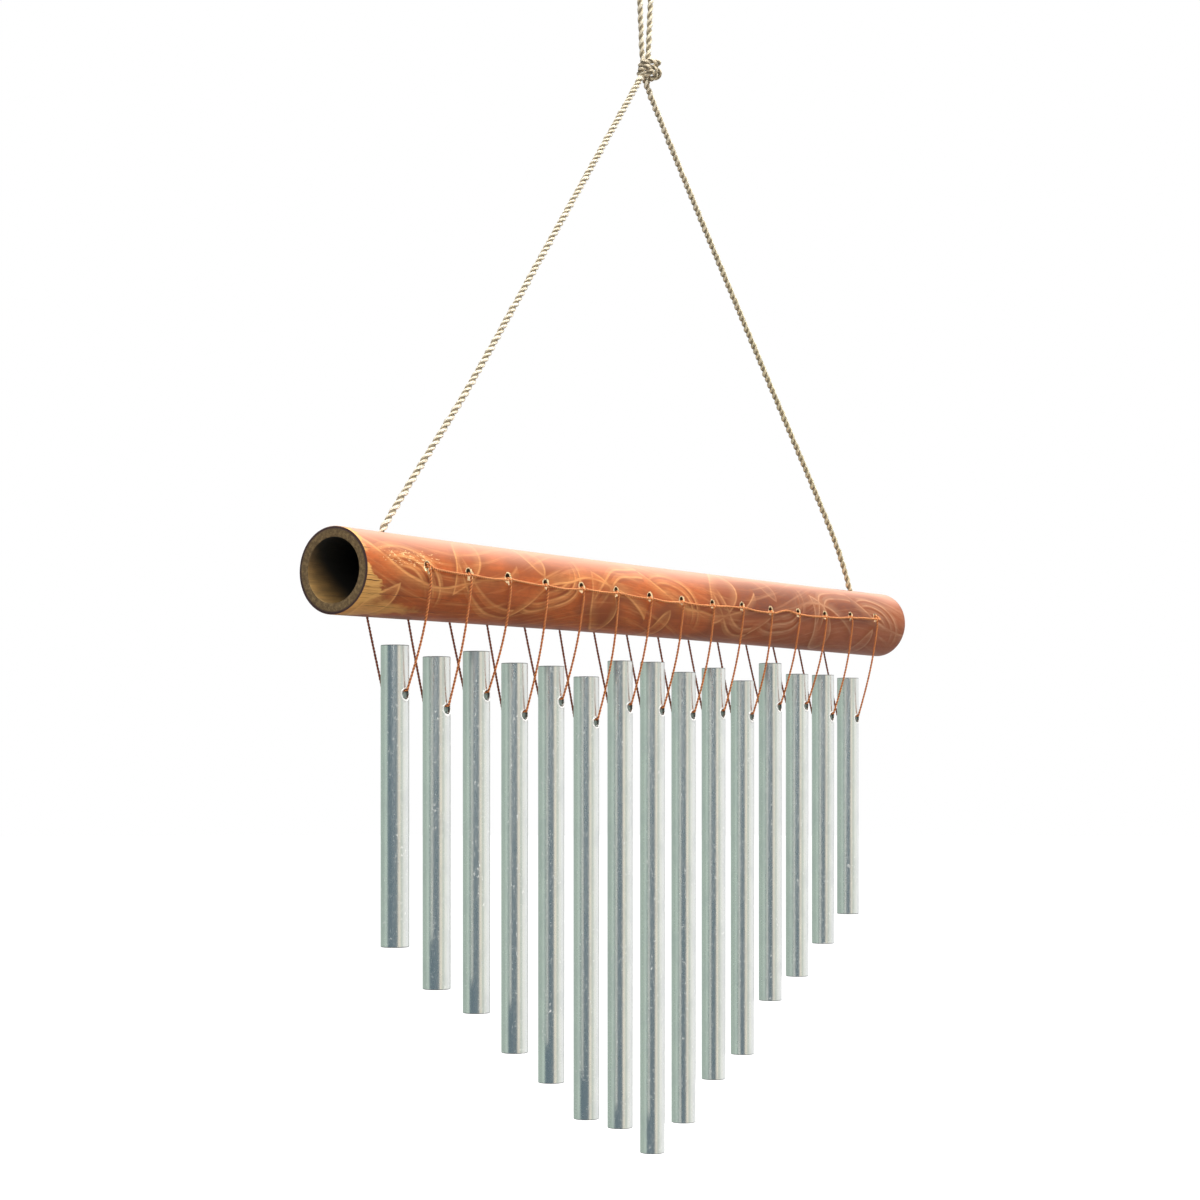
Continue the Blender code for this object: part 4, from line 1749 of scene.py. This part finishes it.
    def build(self) -> None:
        """Lay the cord's pieces and let them stand for their solids."""
        diameter = 2 * self.radius
        mouth = self.layout.cord_mouth
        knot = self.knot_lay.build("overhand_knot", self._knot_lines(), self.shaded_knot_finish)
        stand_in(knot, "cord_knot", "knot")
        for leg, x in zip(self.legs, self.beam.cord_places):
            side = leg.side.value
            line = self._leg_line(leg, x)
            piece = self.lay.build(f"twisted_leg_{side}", [line], self.finish)
            start, end = ((x, 0.0, mouth + lift) for lift in self.leg_blend)
            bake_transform(piece)
            stand_in(piece, f"cord_leg_{side}")
            stopper = self.knot_lay.build(f"stopper_knot_{side}", [self._stopper_line(x)], self.shaded_knot_finish)
            stand_in(stopper, f"cord_end_{side}", "beam")
        line = self._loop_line()
        loop = self.loop_lay.build("twisted_loop", [line], self.finish)
        knot_top = self.layout.knot[2] + self.knot_radius
        start, end = ((0.0, 0.0, knot_top + lift) for lift in self.loop_blend)
        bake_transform(loop)
        stand_in(loop, "hanging_loop")


@dataclass(frozen=True)
class Lamp:
    """A square soft lamp: where it hangs and how wide it is in metres, and its power in watts."""

    name: str
    place: Point
    width: float
    power: float
    colour: Colour
    in_reflections: bool = True


@dataclass(frozen=True)
class Flat:
    """A curved studio flat that only reflections see, over a range of directions in degrees."""

    name: str
    colour: Colour
    start: float
    end: float


@dataclass
class Studio:
    """Camera, floor, soft lamps, reflecting flats and a white surround."""

    camera_place: Point = (-1.01545, -0.65769, -0.37917)
    camera_turn: float = math.radians(-56.029)
    lens: float = 74.756
    sensor_width: float = 36.0
    shift_up: float = 0.13896
    floor_height: float = -0.66
    floor_radius: float = 9.0
    floor_sides: int = 96
    floor_grey: float = 0.30
    floor_glow: float = 0.90
    lamps: tuple[Lamp, ...] = (
        Lamp("top_lamp", (0.1, -0.36, 1.05), 0.8, 29.0, (1.0, 0.97, 0.93)),
        Lamp("key_lamp", (0.75, -1.05, 0.75), 0.7, 3.2, (1.0, 0.96, 0.90)),
        Lamp("left_lamp", (-1.35, -0.65, 0.25), 0.5, 4.0, (1.0, 0.96, 0.90)),
        Lamp("fill_lamp", (-0.75, -1.25, -0.60), 0.9, 8.0, (1.0, 0.95, 0.88), in_reflections=False),
    )
    lamp_aim: Point = (0.0, 0.0, -0.30)
    flats: tuple[Flat, ...] = (
        Flat("dark_flat", (0.135, 0.19, 0.225), 158.0, 238.0),
        Flat("peach_flat", (1.0, 0.91, 0.77), 238.0, 260.0),
        Flat("grey_flat", (0.60, 0.66, 0.60), 260.0, 281.0),
        Flat("cream_flat", (1.0, 0.99, 0.94), 281.0, 312.0),
        Flat("pale_flat", (0.58, 0.68, 0.61), 132.0, 158.0),
        Flat("green_flat", (0.44, 0.53, 0.47), 40.0, 132.0),
    )
    flat_distance: float = 2.4
    flat_top: float = 1.1
    flat_foot: float = -1.9
    flat_steps: int = 24
    low_light: float = 0.36
    sky_light: float = 0.34
    sky_span: Pair = (-0.5, 0.9)
    dim_surround: float = 0.30
    dim_span: Pair = (-0.6, -0.3)

    def build(self) -> None:
        """Set up the whole studio."""
        self._camera()
        self._floor()
        for lamp in self.lamps:
            self._lamp(lamp)
        self._world()
        for flat in self.flats:
            self._flat(flat)
        bpy.context.scene.view_settings.view_transform = "Standard"

    def _camera(self) -> None:
        """Stand the camera where the photograph was taken."""
        data = bpy.data.cameras.new("camera")
        data.lens = self.lens
        data.sensor_width = self.sensor_width
        data.shift_y = self.shift_up
        camera = linked("camera", data)
        camera.location = self.camera_place
        camera.rotation_euler = (math.pi / 2, 0.0, self.camera_turn)
        bpy.context.scene.camera = camera

    def _lamp(self, lamp: Lamp) -> None:
        """Hang a lamp that faces the chime.

        Args:
            lamp: The lamp.
        """
        data = bpy.data.lights.new(lamp.name, "AREA")
        data.size = lamp.width
        data.energy = lamp.power
        data.color = lamp.colour
        obj = linked(lamp.name, data)
        obj.location = lamp.place
        x, y, z = np.array(self.lamp_aim) - np.array(lamp.place)
        tilt = math.acos(-z / math.hypot(x, y, z))
        obj.rotation_euler = (tilt, 0.0, math.atan2(y, x) - math.pi / 2)
        obj.visible_glossy = lamp.in_reflections

    @staticmethod
    def _cleared(owner: bpy.types.Material | bpy.types.World) -> Nodes:
        """Start a material or a world with no nodes.

        Args:
            owner: The material or world.

        Returns:
            Its node tree.
        """
        owner.use_nodes = True
        owner.node_tree.nodes.clear()
        return Nodes(owner.node_tree)

    def _floor(self) -> None:
        """Lay a floor below the tubes that shows white, takes the shadow softly and throws little light."""
        floor = added(bpy.ops.mesh.primitive_circle_add, vertices=self.floor_sides,
                      radius=self.floor_radius, fill_type="NGON", location=(0.0, 0.0, self.floor_height))
        floor.name = "floor"
        material = bpy.data.materials.new("floor_white")
        nodes = self._cleared(material)
        seen = Shade(nodes, nodes.add("ShaderNodeLightPath").outputs["Is Camera Ray"])
        plain = nodes.add("ShaderNodeBsdfDiffuse", None, {"Color": (self.floor_grey,) * 3})
        glow = {"Color": (1.0, 1.0, 1.0), "Strength": seen * self.floor_glow}
        white = nodes.add("ShaderNodeEmission", None, glow)
        summed = nodes.add("ShaderNodeAddShader", None, {0: plain.outputs[0], 1: white.outputs[0]})
        nodes.add("ShaderNodeOutputMaterial", None, {"Surface": summed.outputs[0]})
        floor.visible_glossy = False
        floor.data.materials.append(material)

    def _flat(self, flat: Flat) -> None:
        """Stand up a flat: a strip of a wide cylinder round the object.

        Args:
            flat: The flat.
        """
        steps = self.flat_steps
        angles = np.radians(np.linspace(flat.start, flat.end, steps + 1))
        ring = [(self.flat_distance * math.cos(a), self.flat_distance * math.sin(a)) for a in angles]
        points = [(x, y, z) for z in (self.flat_foot, self.flat_top) for x, y in ring]
        faces = [(i, i + 1, i + steps + 2, i + steps + 1) for i in range(steps)]
        mesh = bpy.data.meshes.new(flat.name)
        mesh.from_pydata(points, [], faces)
        material = bpy.data.materials.new(flat.name)
        nodes = self._cleared(material)
        glow = nodes.add("ShaderNodeEmission", None, {"Color": flat.colour, "Strength": 1.0})
        nodes.add("ShaderNodeOutputMaterial", None, {"Surface": glow.outputs[0]})
        mesh.materials.append(material)
        obj = linked(flat.name, mesh)
        obj.visible_camera = False
        obj.visible_diffuse = False
        obj.visible_shadow = False
        obj.visible_transmission = False

    def _world(self) -> None:
        """Make a white surround for the camera and for reflections, and soft light mostly from above."""
        world = bpy.data.worlds.new("surround")
        bpy.context.scene.world = world
        nodes = self._cleared(world)
        path = nodes.add("ShaderNodeLightPath").outputs
        rays = ("Is Camera Ray", "Is Glossy Ray", "Is Transmission Ray")
        camera, glossy, transmission = (Shade(nodes, path[ray]) for ray in rays)
        seen = camera | glossy | transmission
        height = nodes.parts(nodes.add("ShaderNodeTexCoord").outputs["Generated"])[2]
        soft = self.low_light + height.smooth(*self.sky_span) * self.sky_light
        shown = camera | self.dim_surround + height.smooth(*self.dim_span) * (1.0 - self.dim_surround)
        strength = seen * shown + soft * (1.0 - seen)
        light = nodes.add("ShaderNodeBackground", None, {"Color": (1.0, 1.0, 1.0), "Strength": strength})
        nodes.add("ShaderNodeOutputWorld", None, {"Surface": light.outputs[0]})


def main() -> None:
    """Build the studio and every dressed piece of the chime, in order."""
    logging.basicConfig(level=logging.INFO, format="%(message)s")
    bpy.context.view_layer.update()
    layout = Layout.read()
    beam = BambooBeam(layout)
    Studio().build()
    HangingCord(layout, beam).build()
    Threads(layout, beam).build()
    beam.build()
    ChimeTubes(layout).build()


if __name__ == "__main__":
    main()
